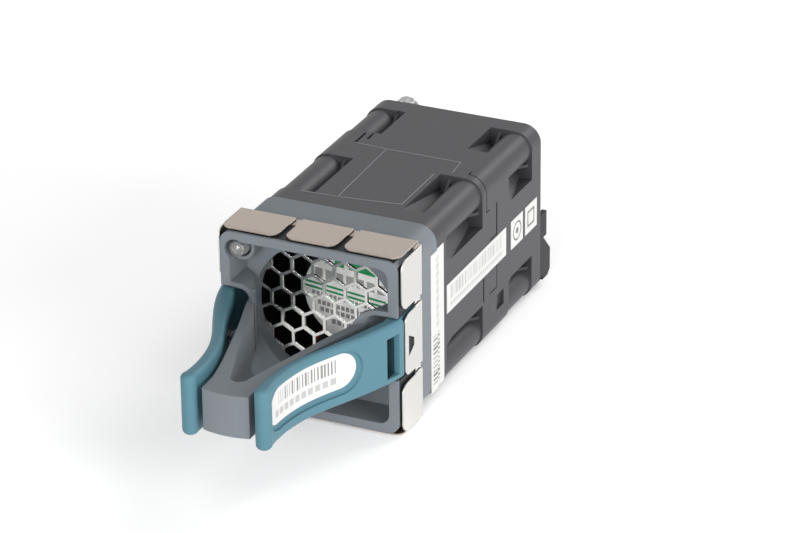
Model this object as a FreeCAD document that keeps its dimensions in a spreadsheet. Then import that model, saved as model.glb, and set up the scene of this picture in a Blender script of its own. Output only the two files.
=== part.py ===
"""Hot-swap server fan module: counter-rotating 40 mm fan pair behind a latching bezel.

X runs across the module, Y from the pull handle towards the rear connector, Z up.
Lengths are in millimetres.  Every piece is drawn with y = 0 at the seam between bezel
and fan, and all are then moved together so that the origin is the bottom centre.
"""
import FreeCAD, Part
import math
import os
import re

import PartDesign
import Sketcher

Vector = FreeCAD.Vector
Rotation = FreeCAD.Rotation
Placement = FreeCAD.Placement

DIMENSIONS = {
    # fan pair
    "fan_side": 40.0,
    "frame_length": 28.0,
    "corner_round": 4.0,
    "hole_pitch": 32.0,
    "hole_radius": 1.75,
    "tube_radius": 3.65,
    "duct_radius": 18.4,
    "duct_wall": 0.9,
    "cone_radius": 22.4,
    "window_inset_x": 10.2,
    "window_inset_z": 9.2,
    "outlet_window_start": 5.4,
    "outlet_window_end": 24.3,
    "inlet_window_start": 10.3,
    "inlet_window_end": 23.1,
    "seam_tab": 3.7,
    "seam_tab_bottom": 12.0,
    "seam_tab_top": 24.4,
    "seam_hook": 1.4,
    "seam_gap": 0.3,
    "slit_width": 0.6,
    "slit_depth": 0.8,
    # motors
    "base_radius": 10.6,
    "base_thickness": 1.6,
    "base_recess": 0.15,
    "strut_count": 7,
    "strut_width": 1.2,
    "strut_depth": 2.35,
    "shaft_radius": 1.0,
    "bearing_radius": 2.5,
    "bearing_length": 2.3,
    "bearing_tube": 3.4,
    "tube_length": 13.0,
    "core_radius": 7.9,
    "core_start": 5.4,
    "core_length": 5.0,
    "board_radius": 8.6,
    "board_start": 2.6,
    "board_thickness": 0.8,
    "magnet_radius": 9.1,
    "magnet_thickness": 0.8,
    "cup_radius": 9.7,
    "cup_start": 4.6,
    "cup_length": 10.6,
    "cup_wall": 0.6,
    "hub_radius": 10.5,
    "hub_length": 20.0,
    "hub_wall": 0.8,
    "blade_tip": 18.0,
    "blade_chord": 15.5,
    "blade_thickness": 0.9,
    "outlet_blades": 7,
    "inlet_blades": 5,
    # bezel
    "bezel_mid": 20.4,
    "collar_half_x": 20.3,
    "collar_half_z": 19.7,
    "collar_depth": 8.6,
    "shell_half_x": 20.2,
    "shell_half_z": 19.6,
    "shell_depth": 9.8,
    "shell_round": 2.5,
    "rim_depth": 0.8,
    "rim_inset": 0.1,
    "shell_wall": 2.2,
    "cavity_depth": 7.9,
    "mouth_radius": 16.65,
    "grille_radius": 17.75,
    "grille_seat": 7.9,
    "grille_thickness": 0.6,
    "grille_pitch": 4.9,
    "grille_web": 0.65,
    "grille_shift_x": 0.4,
    "grille_shift_z": 0.25,
    "bay_half": 7.2,
    "shelf": 1.1,
    "bay_depth": 2.85,
    "tunnel_inset": 4.2,
    "tunnel_wall": 1.35,
    "tunnel_slant": 3.7,
    "tunnel_round": 3.0,
    # handle
    "nose_reach": 57.6,
    "nose_half": 5.2,
    "nose_height": 8.4,
    "nose_depth": 5.4,
    "arm_height": 10.3,
    # latch levers
    "lever_height": 13.5,
    "lever_reach": 58.2,
    "lever_shoulder": 17.8,
    "lever_tail": 1.25,
    "lever_edge": 1.1,
    "pin_radius": 0.6,
    "pin_inset": 1.4,
    "pin_y": 10.1,
    "pin_bite": 2.5,
    "running_gap": 0.05,
    "label_recess": 0.5,
    "slot_depth": 1.8,
    "catch_height": 4.4,
    "spring_y": 27.5,
    "spring_radius": 1.5,
    "spring_wire": 0.17,
    "spring_turns": 4,
    "spring_seat": 12.9,
    "spring_floor": 15.9,
    # gasket fingers
    "gasket_rise": 0.8,
    "gasket_sheet": 0.3,
    "gasket_foot": 0.25,
    "finger_gap": 1.6,
    "finger_round": 2.0,
    "finger_step": 1.1,
    "top_finger": 11.6,
    "side_finger": 13.9,
    "gasket_inset": 0.1,
    # light pipe
    "pipe_radius": 1.5,
    "pipe_head": 1.7,
    "pipe_shift": 0.6,
    "pipe_recess": 2.45,
    "pipe_front": 18.4,
    "pipe_rear": 61.5,
    "collector_radius": 3.0,
    "collector_shift": 1.6,
    "collector_length": 3.6,
    # screws
    "screw_radius": 1.45,
    "screw_head": 2.7,
    "screw_bite": 6.4,
    # rear connector
    "bracket_thickness": 1.4,
    "bracket_top": 18.3,
    "bracket_tab": 3.5,
    "bracket_inset": 18.9,
    "block_left": 12.0,
    "block_bottom": 2.1,
    "block_top": 12.4,
    "block_reach": 5.6,
    "socket_wall": 1.0,
    "socket_depth": 3.2,
    "contact_count": 4,
    "contact_width": 0.6,
    # leads
    "lead_radius": 0.45,
    "lead_pitch": 1.1,
    "lead_channel_x": 11.5,
    "lead_channel_width": 3.6,
    "lead_channel_depth": 1.7,
    "lead_height": 1.05,
    "lead_plane": 3.0,
    "lead_bend": 1.5,
    "lead_entry": 0.8,
    # labels
    "label_thickness": 0.1,
}

LINKED = {
    "rim_half_x": "shell_half_x - rim_inset",
    "rim_half_z": "shell_half_z + rim_inset",
    "cavity_half_x": "shell_half_x - shell_wall",
    "cavity_half_z": "shell_half_z - shell_wall + 0.3",
    "rim_plane": "collar_depth + shell_depth + rim_depth",
    "cavity_floor": "rim_plane - cavity_depth",
    "bay_floor": "shell_half_x - bay_depth",
    "tunnel_half": "bay_half + shelf",
    "pin_x": "shell_half_x - pin_inset",
    "gasket_half_x": "shell_half_x",
    "gasket_half_z": "shell_half_z - gasket_inset",
    "slot_end": "nose_reach - nose_depth",
}

DOC = FreeCAD.newDocument("server_fan_module")
NODES = []


def make_sheet():
    """Write the dimensions and those worked out from them, with one alias each."""
    sheet = DOC.addObject("Spreadsheet::Sheet", "Sizes")
    worked_out = {alias: "=" + text for alias, text in LINKED.items()}
    for row, (alias, entry) in enumerate((DIMENSIONS | worked_out).items(), start=1):
        sheet.set(f"A{row}", alias)
        sheet.set(f"B{row}", str(entry))
        sheet.setAlias(f"B{row}", alias)
    DOC.recompute()
    return sheet


SHEET = make_sheet()


class SheetSizes:
    """Read a driving dimension from the sheet as a plain number."""

    def __getattr__(self, alias):
        return float(SHEET.get(alias))


size = SheetSizes()


def formula(text):
    """Point every alias in a size formula at the sheet."""
    def link(match):
        word = match.group()
        return "Sizes." + word if word in DIMENSIONS or word in LINKED else word

    return re.sub(r"[a-z_]+", link, str(text))


def bind(thing, **formulas):
    """Bind properties of an object to formulas on the sheet."""
    for name, text in formulas.items():
        thing.setExpression(name, formula(text))


def put(thing, x="0", y="0", z="0"):
    """Bind an object's place to formulas on the sheet."""
    for axis, text in zip("xyz", (x, y, z)):
        thing.setExpression("Placement.Base." + axis, formula(text))
    return thing


def node(thing, label):
    """Name a finished sub-part and keep it for the export."""
    thing.Label = label
    NODES.append(thing)
    return thing


def box(name, x, y, z, length, width, height):
    """Box with its low corner at x, y, z."""
    thing = DOC.addObject("Part::Box", name)
    bind(thing, Length=length, Width=width, Height=height)
    return put(thing, x, y, z)


def rod(name, radius, start, length, x="0", z="fan_side / 2"):
    """Cylinder along Y."""
    thing = DOC.addObject("Part::Cylinder", name)
    thing.Placement = Placement(Vector(), Rotation(Vector(1, 0, 0), -90))
    bind(thing, Radius=radius, Height=length)
    return put(thing, x, start, z)


def cone(name, radius_start, radius_end, start, length, x="0", z="fan_side / 2"):
    """Cone frustum along Y."""
    thing = DOC.addObject("Part::Cone", name)
    thing.Placement = Placement(Vector(), Rotation(Vector(1, 0, 0), -90))
    bind(thing, Radius1=radius_start, Radius2=radius_end, Height=length)
    return put(thing, x, start, z)


def post(name, radius, x, y, z, height):
    """Cylinder along Z."""
    thing = DOC.addObject("Part::Cylinder", name)
    bind(thing, Radius=radius, Height=height)
    return put(thing, x, y, z)


def fuse(name, *things):
    """Join several objects."""
    thing = DOC.addObject("Part::MultiFuse", name)
    thing.Shapes = list(things)
    return thing


def cut(name, base, *tools):
    """Take one or more tools away from a base."""
    thing = DOC.addObject("Part::Cut", name)
    thing.Base = base
    thing.Tool = tools[0] if len(tools) == 1 else fuse(name + "_tools", *tools)
    return thing


def common(name, first, second):
    """Keep what two objects share."""
    thing = DOC.addObject("Part::Common", name)
    thing.Base = first
    thing.Tool = second
    return thing


def solid(name, shape):
    """Keep a shape worked out with Part's own functions, with no placement of its own."""
    thing = DOC.addObject("Part::Feature", name)
    thing.Shape = shape if shape.Placement.isIdentity() else Part.makeCompound([shape])
    return thing


def line(start, end):
    return Part.LineSegment(Vector(*start, 0), Vector(*end, 0))


def curve(points):
    """Smooth curve through a few points of a sketch."""
    spline = Part.BSplineCurve()
    spline.interpolate([Vector(*point, 0) for point in points])
    return spline


def outline(points):
    """Closed run of straight sketch lines."""
    return [line(a, b) for a, b in zip(points, points[1:] + points[:1])]


def rounded(mid_x, mid_y, half_x, half_y, radius):
    """Rectangle with rounded corners as sketch geometry."""
    edges = []
    corners = ((1, 1), (-1, 1), (-1, -1), (1, -1))
    starts = []
    for turn, (sx, sy) in enumerate(corners):
        centre = Vector(mid_x + sx * (half_x - radius), mid_y + sy * (half_y - radius), 0)
        circle = Part.Circle(centre, Vector(0, 0, 1), radius)
        first = turn * math.pi / 2
        arc = Part.ArcOfCircle(circle, first, first + math.pi / 2)
        starts.append(arc)
    for here, after in zip(starts, starts[1:] + starts[:1]):
        edges.append(here)
        edges.append(Part.LineSegment(here.EndPoint, after.StartPoint))
    return edges


def plane_of(body, role):
    """Origin plane of a body, found by its role."""
    return [item for item in body.Origin.OriginFeatures if item.Role == role][0]


def make_body(name):
    return DOC.addObject("PartDesign::Body", name)


def sketch(body, name, role, offset, geometry):
    """Sketch on an origin plane, moved along its normal by a sheet formula."""
    drawing = body.newObject("Sketcher::SketchObject", name)
    drawing.AttachmentSupport = [(plane_of(body, role), "")]
    drawing.MapMode = "FlatFace"
    drawing.setExpression("AttachmentOffset.Base.z", formula(offset))
    for edge in geometry:
        index = drawing.addGeometry(edge, False)
        drawing.addConstraint(Sketcher.Constraint("Block", index))
    return drawing


def circle_sketch(body, name, role, offset, radius, x, y):
    """Sketch of one circle whose radius and centre follow the sheet."""
    drawing = sketch(body, name, role, offset, [])
    index = drawing.addGeometry(Part.Circle(Vector(10, 10, 0), Vector(0, 0, 1), 1), False)
    for kind, text in (("Radius", radius), ("DistanceX", x), ("DistanceY", y)):
        if kind == "Radius":
            number = drawing.addConstraint(Sketcher.Constraint(kind, index, 1.0))
        else:
            number = drawing.addConstraint(Sketcher.Constraint(kind, -1, 1, index, 3, 10.0))
        drawing.setExpression(f"Constraints[{number}]", formula(text))
    return drawing


def grow(kind, body, profile, length, backwards=False):
    """Pad or Pocket with a length from the sheet."""
    thing = body.newObject("PartDesign::" + kind, profile.Name + "_" + kind.lower())
    thing.Profile = profile
    thing.Type = 0
    bind(thing, Length=length)
    thing.Reversed = backwards
    body.Tip = thing
    DOC.recompute()
    return thing


def pad(body, profile, length, backwards=False):
    return grow("Pad", body, profile, length, backwards)


def pocket(body, profile, length, backwards=False):
    before = body.Shape.Volume
    thing = grow("Pocket", body, profile, length, backwards)
    if not body.Shape.Volume < before:
        raise RuntimeError(thing.Name + " cuts nothing")
    return thing


# ----------------------------------------------------------------- fan frames
def corner_posts(name, radius, start, length, corners=((1, 1), (-1, 1), (-1, -1), (1, -1))):
    """Cylinders on the four screw axes."""
    posts = []
    for index, (sx, sz) in enumerate(corners):
        posts.append(rod(f"{name}_{index}", radius, start, length, f"{sx} * hole_pitch / 2",
                         f"fan_side / 2 + {sz} * hole_pitch / 2"))
    return fuse(name, *posts)


def frame_block(name, start):
    """Square block with rounded corners, one frame long."""
    body = make_body(name)
    half = size.fan_side / 2
    profile = sketch(body, name + "_outline", "XZ_Plane", f"-({start})",
                     rounded(0, half, half, half, size.corner_round))
    pad(body, profile, "frame_length", backwards=True)
    return body


def window_cutter(name, start, window_start, window_end):
    """What the corner windows take away: all but the duct cone and the screw tubes."""
    low = f"{start} + {window_start}"
    length = f"{window_end} - {window_start}"
    blocks = []
    for index, (sx, sz) in enumerate(((1, 1), (-1, 1), (-1, -1), (1, -1))):
        x = "window_inset_x" if sx > 0 else "-fan_side / 2 - 1"
        z = "fan_side / 2 + window_inset_z" if sz > 0 else "-1"
        blocks.append(box(f"{name}_quarter_{index}", x, low, z,
                          "fan_side / 2 + 1 - window_inset_x", length,
                          "fan_side / 2 + 1 - window_inset_z"))
    duct = cone(name + "_duct", "cone_radius", "duct_radius + duct_wall", low, length)
    tubes = corner_posts(name + "_tubes", "tube_radius", low, length)
    return cut(name, fuse(name + "_quarters", *blocks), duct, tubes)


def gussets(name, start, window_end):
    """Small triangular webs beside the screw tubes, at the rear end of the windows."""
    half = size.fan_side / 2
    back = start + window_end + 0.2
    reach = 4.2
    drop = 3.4
    ribs = []
    for sx in (1, -1):
        for sz in (1, -1):
            x = sx * (size.hole_pitch / 2 - size.tube_radius)
            top = half + sz * (half - 0.8)
            low = half + sz * (half - 0.8 - drop)
            corners = [Vector(x - 0.35, back, top), Vector(x - 0.35, back - reach, low),
                       Vector(x - 0.35, back, low)]
            face = Part.Face(Part.makePolygon(corners + corners[:1]))
            ribs.append(face.extrude(Vector(0.7, 0, 0)))
            z = half + sz * (size.hole_pitch / 2 - size.tube_radius)
            side = sx * (half - 0.8)
            inner = sx * (half - 0.8 - drop)
            corners = [Vector(side, back, z - 0.35), Vector(inner, back - reach, z - 0.35),
                       Vector(inner, back, z - 0.35)]
            face = Part.Face(Part.makePolygon(corners + corners[:1]))
            ribs.append(face.extrude(Vector(0, 0, 0.7)))
    return solid(name, Part.makeCompound(ribs))


def struts(name, start):
    """Guide vanes between the motor base and the duct, the first one beside the leads."""
    half = size.fan_side / 2
    count = int(size.strut_count)
    vanes = []
    length = size.duct_radius + 0.3 - size.base_radius + 0.4
    towards = lead_direction()
    first = math.degrees(math.atan2(towards.x, towards.z))
    for index in range(count):
        vane = Part.makeBox(size.strut_width, size.strut_depth, length,
                            Vector(-size.strut_width / 2, 0, size.base_radius - 0.4))
        vane.rotate(Vector(), Vector(0, 1, 0), first + 360.0 * index / count)
        vane.translate(Vector(0, start + size.base_recess, half))
        vanes.append(vane)
    return solid(name, Part.makeCompound(vanes))


def motor_base(name, start):
    """Stationary base disc with the bearing tube that stands on it."""
    begin = f"{start} + base_recess"
    disc = rod(name + "_disc", "base_radius", begin, "base_thickness")
    stem = rod(name + "_stem", "bearing_tube", begin, "tube_length")
    return fuse(name, disc, stem)


def bearing_seats(name, start):
    """Bore for the shaft with a wider seat at each end for the bearings."""
    begin = f"{start} + base_recess"
    bore = rod(name + "_bore", "shaft_radius + 0.35", f"{begin} + 0.6", "tube_length")
    low = rod(name + "_low", "bearing_radius", f"{begin} + 1.2", "bearing_length")
    high = rod(name + "_high", "bearing_radius", f"{begin} + tube_length - bearing_length",
               "bearing_length + 0.1")
    return fuse(name, bore, low, high)


def lead_channel(name):
    """Groove under the frames that carries the motor leads to the rear."""
    groove = box(name + "_groove", "-lead_channel_x - lead_channel_width / 2", "lead_plane - 1",
                 "-1", "lead_channel_width", "2 * frame_length", "lead_channel_depth + 1")
    return groove


def lead_doors(name, start):
    """Slot that lets the leads out of the duct into the groove."""
    door = DOC.addObject("Part::Box", name)
    turn = math.degrees(math.atan2(-lead_direction().x, -lead_direction().z))
    door.Placement = Placement(Vector(), Rotation(Vector(0, 1, 0), turn))
    bind(door, Length="lead_channel_width - 0.2", Width="2 * lead_radius + 1.4",
         Height="lead_channel_depth + 5.2")
    return put(door, "-lead_channel_x - lead_channel_width / 2 - 0.65",
               f"{start} + lead_plane - 0.6", "0.2")


def side_tabs(name, gap):
    """Locking tabs on both side faces of the outlet frame."""
    tabs = []
    for side in ("fan_side / 2 - 1", "-fan_side / 2"):
        tabs.append(box(f"{name}_{len(tabs)}", side + (f" - {gap}" if len(tabs) == 0 else ""),
                        "frame_length - 1", f"seam_tab_bottom - {gap}", f"1 + {gap}",
                        f"seam_tab + 1 + {gap}", f"seam_tab_top - seam_tab_bottom + 2 * {gap}"))
    return fuse(name, *tabs)


def corner_hooks(name, gap):
    """Curved hooks of the inlet frame, at the upper right and lower left corners."""
    hooks = []
    for sx in (1, -1):
        x = f"hole_pitch / 2 - {gap}" if sx > 0 else "-fan_side / 2 - 1"
        z = f"fan_side / 2 + 12 - {gap}" if sx > 0 else "-1"
        hooks.append(box(f"{name}_{len(hooks)}", x, f"frame_length - seam_hook - {gap}", z,
                         f"fan_side / 2 - hole_pitch / 2 + 1 + {gap}",
                         f"seam_hook + 1 + {gap}", f"9 + {gap}"))
    return cut(name, fuse(name + "_blocks", *hooks),
               corner_posts(name + "_cores", "tube_radius - 0.8", "0", "2 * frame_length"))


def side_slit(name, middle, low, high, width="slit_width"):
    """Narrow slot in the right side face, beside the joint between the frames."""
    return box(name, "fan_side / 2 - slit_depth", f"{middle} - {width} / 2", low,
               "slit_depth + 1", width, f"{high} - {low}")


def top_slit(name, middle, low_y, high_y):
    """Narrow slot in the top face, beside the joint between the frames."""
    return box(name, f"{middle} - slit_width / 2", low_y, "fan_side - slit_depth",
               "slit_width", f"{high_y} - {low_y}", "slit_depth + 1")


def outlet_frame():
    """Front frame: motor base and vanes at its outlet, next to the bezel."""
    block = frame_block("outlet_block", "0")
    bore = rod("outlet_bore", "duct_radius", "-1", "frame_length + 2")
    windows = window_cutter("outlet_windows", "0", "outlet_window_start", "outlet_window_end")
    holes = corner_posts("outlet_holes", "hole_radius", "-1", "frame_length + 2")
    hollow = cut("outlet_hollow", block, bore, windows, holes,
                 corner_hooks("outlet_hook_room", "seam_gap"),
                 side_slit("outlet_slit", "frame_length - 3.2", "11.4", "16.9"))
    ribs = gussets("outlet_ribs", 0, size.outlet_window_end)
    vanes = struts("outlet_vanes", 0)
    tabs = common("outlet_tabs", side_tabs("outlet_tab_blocks", "0"),
                  frame_envelope("outlet_tab_limit"))
    whole = fuse("outlet_whole", hollow, ribs, vanes, motor_base("outlet_base", "0"), tabs)
    return node(cut("outlet_frame", whole, bearing_seats("outlet_seats", "0"),
                    lead_channel("outlet_channel"), lead_doors("outlet_door", "0")),
                "outlet_frame")


def frame_envelope(name):
    """Outer form of the fan pair, which nothing moulded on it may leave."""
    body = make_body(name)
    half = size.fan_side / 2
    profile = sketch(body, name + "_outline", "XZ_Plane", "0",
                     rounded(0, half, half, half, size.corner_round))
    pad(body, profile, "2 * frame_length", backwards=True)
    return body


def inlet_frame():
    """Rear frame: motor base and vanes in the middle of the pair, open inlet at the rear."""
    block = frame_block("inlet_block", "frame_length")
    bore = rod("inlet_bore", "duct_radius", "frame_length - 1", "frame_length + 2")
    windows = window_cutter("inlet_windows", "frame_length", "inlet_window_start",
                            "inlet_window_end")
    holes = corner_posts("inlet_holes", "hole_radius", "frame_length - 1", "frame_length + 2")
    sinks = corner_posts("inlet_sinks", "screw_head + 0.1", "2 * frame_length - 1.6", "2",
                         ((1, 1), (-1, -1), (1, -1)))
    hollow = cut("inlet_hollow", block, bore, windows, holes, sinks,
                 side_tabs("inlet_tab_room", "seam_gap"),
                 side_slit("inlet_slit_high", "frame_length + seam_tab + 0.1",
                           "seam_tab_top", "32"),
                 side_slit("inlet_notch", "frame_length + 5.7", "6.2", "9.8", "3.8"),
                 top_slit("inlet_slit_a", "-13.5", "frame_length + 3.9", "frame_length + 6.8"),
                 top_slit("inlet_slit_b", "-11.8", "frame_length + 6.7", "frame_length + 10"))
    ribs = gussets("inlet_ribs", size.frame_length, size.inlet_window_end)
    vanes = struts("inlet_vanes", size.frame_length)
    hooks = common("inlet_hooks", corner_hooks("inlet_hook_blocks", "0"),
                   frame_envelope("inlet_hook_limit"))
    whole = fuse("inlet_whole", hollow, ribs, vanes, motor_base("inlet_base", "frame_length"),
                 hooks)
    return node(cut("inlet_frame", whole, bearing_seats("inlet_seats", "frame_length"),
                    lead_channel("inlet_channel"), lead_doors("inlet_door", "frame_length")),
                "inlet_frame")


# --------------------------------------------------------------------- motors
def blade_section(radius, hand):
    """Cambered blade section at one distance from the axis, steeper near the hub."""
    share = (radius - size.hub_radius) / (size.blade_tip - size.hub_radius)
    angle = math.radians(52 - 22 * share)
    chord = size.blade_chord / math.sin(math.radians(52)) * (0.92 + 0.12 * share)
    upper, lower = [], []
    for along in (-0.5, -0.25, 0.0, 0.25, 0.5):
        bend = 0.09 * chord * (1 - 4 * along * along)
        thick = size.blade_thickness * (0.35 + 0.65 * math.cos(math.pi * along)) / 2
        for points, height in ((upper, bend + thick), (lower, bend - thick)):
            across = along * chord * math.cos(angle) - height * math.sin(angle)
            y = along * chord * math.sin(angle) + height * math.cos(angle)
            points.append(Vector(hand * across, y, radius))
    edges = [Part.makeLine(upper[-1], lower[-1]), Part.makeLine(lower[0], upper[0])]
    for points in (upper, lower):
        spline = Part.BSplineCurve()
        spline.interpolate(points)
        edges.append(spline.toShape())
    return Part.Wire(Part.__sortEdges__(edges))


def blade(hand):
    """One twisted blade, trimmed to the hub's wall and to the tip circle."""
    sections = [blade_section(radius, hand) for radius in (6.5, 12.5, size.blade_tip + 0.4)]
    wing = Part.makeLoft(sections, True, False)
    back = Vector(0, -size.hub_length, 0)
    tip = Part.makeCylinder(size.blade_tip, 2 * size.hub_length, back, Vector(0, 1, 0))
    core = Part.makeCylinder(size.hub_radius - 0.4, 2 * size.hub_length, back, Vector(0, 1, 0))
    return wing.common(tip).cut(core)


def impeller(prefix, start, count, hand):
    """Bladed hub that is pressed over the steel rotor cup."""
    half = size.fan_side / 2
    radius = size.hub_radius
    rear = size.cup_start + size.hub_length
    profile = [(size.cup_radius, size.cup_start), (radius, size.cup_start),
               (radius, rear - 1.2), (radius - 1.2, rear), (0, rear),
               (0, rear - size.hub_wall), (size.cup_radius - 1.4, rear - size.hub_wall),
               (size.cup_radius - 1.4, size.cup_start + size.cup_length),
               (size.cup_radius, size.cup_start + size.cup_length)]
    points = [Vector(r, y, 0) for r, y in profile]
    face = Part.Face(Part.makePolygon(points + points[:1]))
    hub = face.revolve(Vector(), Vector(0, 1, 0), 360)
    blades = []
    middle = size.cup_start + size.hub_length / 2
    master = blade(hand)
    for index in range(count):
        wing = master.copy()
        wing.translate(Vector(0, middle, 0))
        wing.rotate(Vector(), Vector(0, 1, 0), 360.0 * index / count)
        blades.append(wing)
    whole = hub.fuse(blades).removeSplitter()
    whole.translate(Vector(0, start, half))
    return node(solid(prefix + "_impeller", whole), prefix + "_impeller")


def rotor_cup(prefix, start):
    """Deep-drawn steel cup that carries the magnet ring."""
    begin = f"{start} + cup_start"
    shell = rod(prefix + "_cup_shell", "cup_radius", begin, "cup_length")
    inside = rod(prefix + "_cup_inside", "cup_radius - cup_wall", f"{begin} - 1",
                 "cup_length - cup_wall + 1")
    eye = rod(prefix + "_cup_eye", "shaft_radius", begin, "cup_length + 1")
    return node(cut(prefix + "_rotor_cup", shell, inside, eye), prefix + "_rotor_cup")


def magnet_ring(prefix, start):
    """Ferrite ring inside the rotor cup."""
    begin = f"{start} + cup_start + 0.4"
    ring = rod(prefix + "_ring", "magnet_radius", begin, "core_length + 2")
    inside = rod(prefix + "_ring_inside", "magnet_radius - magnet_thickness", f"{begin} - 1",
                 "core_length + 4")
    return node(cut(prefix + "_magnet_ring", ring, inside), prefix + "_magnet_ring")


def shaft(prefix, start):
    """Steel shaft pressed into the rotor cup, with a groove for its clip."""
    begin = f"{start} + base_recess + 0.8"
    length = "cup_start + cup_length - base_recess - 0.8"
    stem = rod(prefix + "_stem", "shaft_radius", begin, length)
    neck_outer = rod(prefix + "_neck_outer", "shaft_radius + 1", f"{begin} + 0.15", "0.25")
    neck_inner = rod(prefix + "_neck_inner", "shaft_radius - 0.25", f"{begin} - 1", "4")
    return node(cut(prefix + "_shaft", stem, cut(prefix + "_neck", neck_outer, neck_inner)),
                prefix + "_shaft")


def bearings(prefix, start):
    """Pair of ball bearings, drawn as closed rings."""
    begin = f"{start} + base_recess"
    rings = []
    for place in (f"{begin} + 1.2", f"{begin} + tube_length - bearing_length"):
        index = len(rings)
        ring = rod(f"{prefix}_bearing_{index}", "bearing_radius", place, "bearing_length")
        eye = rod(f"{prefix}_bearing_eye_{index}", "shaft_radius + running_gap",
                  f"{place} - 1", "bearing_length + 2")
        rings.append(cut(f"{prefix}_bearing_ring_{index}", ring, eye))
    return node(fuse(prefix + "_bearings", *rings), prefix + "_bearings")


def stator_core(prefix, start):
    """Laminated core: a ring with four T-shaped teeth."""
    half = size.fan_side / 2
    length = Vector(0, size.core_length, 0)
    parts = []
    ring = Part.makeCylinder(size.bearing_tube + 1.1, size.core_length, Vector(),
                             Vector(0, 1, 0))
    for index in range(4):
        tooth = Part.makeBox(1.8, size.core_length, size.core_radius - 4,
                             Vector(-0.9, 0, 3.9))
        shoe = Part.makeCylinder(size.core_radius, size.core_length, Vector(), Vector(0, 1, 0))
        shoe = shoe.cut(Part.makeCylinder(size.core_radius - 0.9, size.core_length, Vector(),
                                          Vector(0, 1, 0)))
        wedge = Part.makePolygon([Vector(0, 0, 0), Vector(8, 0, 9.5), Vector(-8, 0, 9.5),
                                  Vector(0, 0, 0)])
        shoe = shoe.common(Part.Face(wedge).extrude(length))
        for part in (tooth, shoe):
            part.rotate(Vector(), Vector(0, 1, 0), 90 * index + 45)
            parts.append(part)
    core = ring.fuse(parts).cut(
        Part.makeCylinder(size.bearing_tube, size.core_length, Vector(), Vector(0, 1, 0)))
    core.translate(Vector(0, start + size.core_start, half))
    return node(solid(prefix + "_stator_core", core.removeSplitter()), prefix + "_stator_core")


def coils(prefix, start):
    """Four windings, one round each tooth of the core."""
    half = size.fan_side / 2
    group = []
    for index in range(4):
        outside = Part.makeBox(4.2, size.core_length + 1.8, 1.95,
                               Vector(-2.1, -0.9, 4.65))
        inside = Part.makeBox(1.8, size.core_length, 4, Vector(-0.9, 0, 4))
        coil = outside.cut(inside)
        coil.rotate(Vector(), Vector(0, 1, 0), 90 * index + 45)
        coil.translate(Vector(0, start + size.core_start, half))
        group.append(coil)
    return node(solid(prefix + "_coils", Part.makeCompound(group)), prefix + "_coils")


def board(prefix, start):
    """Ring-shaped circuit board with the drive chip and two capacitors."""
    begin = f"{start} + board_start"
    disc = rod(prefix + "_board_disc", "board_radius", begin, "board_thickness")
    eye = rod(prefix + "_board_eye", "bearing_tube", f"{begin} - 1", "3")
    plate = cut(prefix + "_board_plate", disc, eye)
    top = f"{begin} + board_thickness"
    chip = box(prefix + "_chip", "-1.5", top, "fan_side / 2 + 4.2", "3", "0.7", "2.6")
    caps = [box(f"{prefix}_capacitor_{i}", x, top, "fan_side / 2 - 6.2", "1.4", "0.7", "1.8")
            for i, x in enumerate(("-3", "1.6"))]
    return node(fuse(prefix + "_circuit_board", plate, chip, *caps), prefix + "_circuit_board")


def shaft_clip(prefix, start):
    """Spring ring in the groove at the shaft's end."""
    begin = f"{start} + base_recess + 0.95"
    ring = rod(prefix + "_clip_ring", "shaft_radius + 0.3", begin, "0.25")
    eye = rod(prefix + "_clip_eye", "shaft_radius - 0.25", f"{begin} - 1", "3")
    gap = box(prefix + "_clip_gap", "-0.4", f"{begin} - 1", "fan_side / 2", "0.8", "3", "4")
    return node(cut(prefix + "_shaft_clip", ring, eye, gap), prefix + "_shaft_clip")


def motor(prefix, start_formula, start, count, hand):
    """Everything that turns or drives in one frame."""
    impeller(prefix, start, count, hand)
    rotor_cup(prefix, start_formula)
    magnet_ring(prefix, start_formula)
    shaft(prefix, start_formula)
    shaft_clip(prefix, start_formula)
    bearings(prefix, start_formula)
    stator_core(prefix, start)
    coils(prefix, start)
    board(prefix, start_formula)


# ---------------------------------------------------------------------- bezel
def from_rim(shares):
    """Plan points from shares of the shell's half width and of the run from rim to nose."""
    run = size.nose_reach - size.rim_plane
    return [(across * size.shell_half_x, -size.rim_plane - along * run)
            for across, along in shares]


def arm_outer():
    """Outer side of the right handle arm in plan, from the rim to the nose."""
    return from_rim([(0.68, 0.0), (0.64, 0.08), (0.51, 0.295), (0.415, 0.475),
                     (0.31, 0.7)]) + [(size.nose_half, -size.slot_end)]


def arm_inner():
    """Inner side of the right handle arm in plan, from the rim to the slot's end."""
    return from_rim([(0.609, 0.0), (0.554, 0.073), (0.418, 0.285), (0.275, 0.542),
                     (0.16, 0.715)]) + [(1.9, -size.slot_end + 1.6)]


def mirrored(points):
    return [(-x, y) for x, y in points]


def handle_plan():
    """Outline of the handle: two arms that meet in the nose, with a slot between them."""
    outer, inner = arm_outer(), arm_inner()
    nose, half, bulge = -size.nose_reach, size.nose_half, 0.8
    root = -size.rim_plane + 1.2
    front = Part.Arc(Vector(half, nose + bulge, 0), Vector(0, nose, 0),
                     Vector(-half, nose + bulge, 0))
    slot_end = Part.Arc(Vector(*inner[-1], 0), Vector(0, -size.slot_end, 0),
                        Vector(-inner[-1][0], inner[-1][1], 0))
    edges = [front, slot_end]
    for side in (1, -1):
        far = [(side * x, y) for x, y in outer]
        near = [(side * x, y) for x, y in inner]
        back_far, back_near = (far[0][0] + side * 0.4, root), (near[0][0] + side * 0.5, root)
        edges += [curve(far), curve(near), line(far[-1], (side * half, nose + bulge)),
                  line(far[0], back_far), line(back_far, back_near), line(back_near, near[0])]
    return edges


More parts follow.
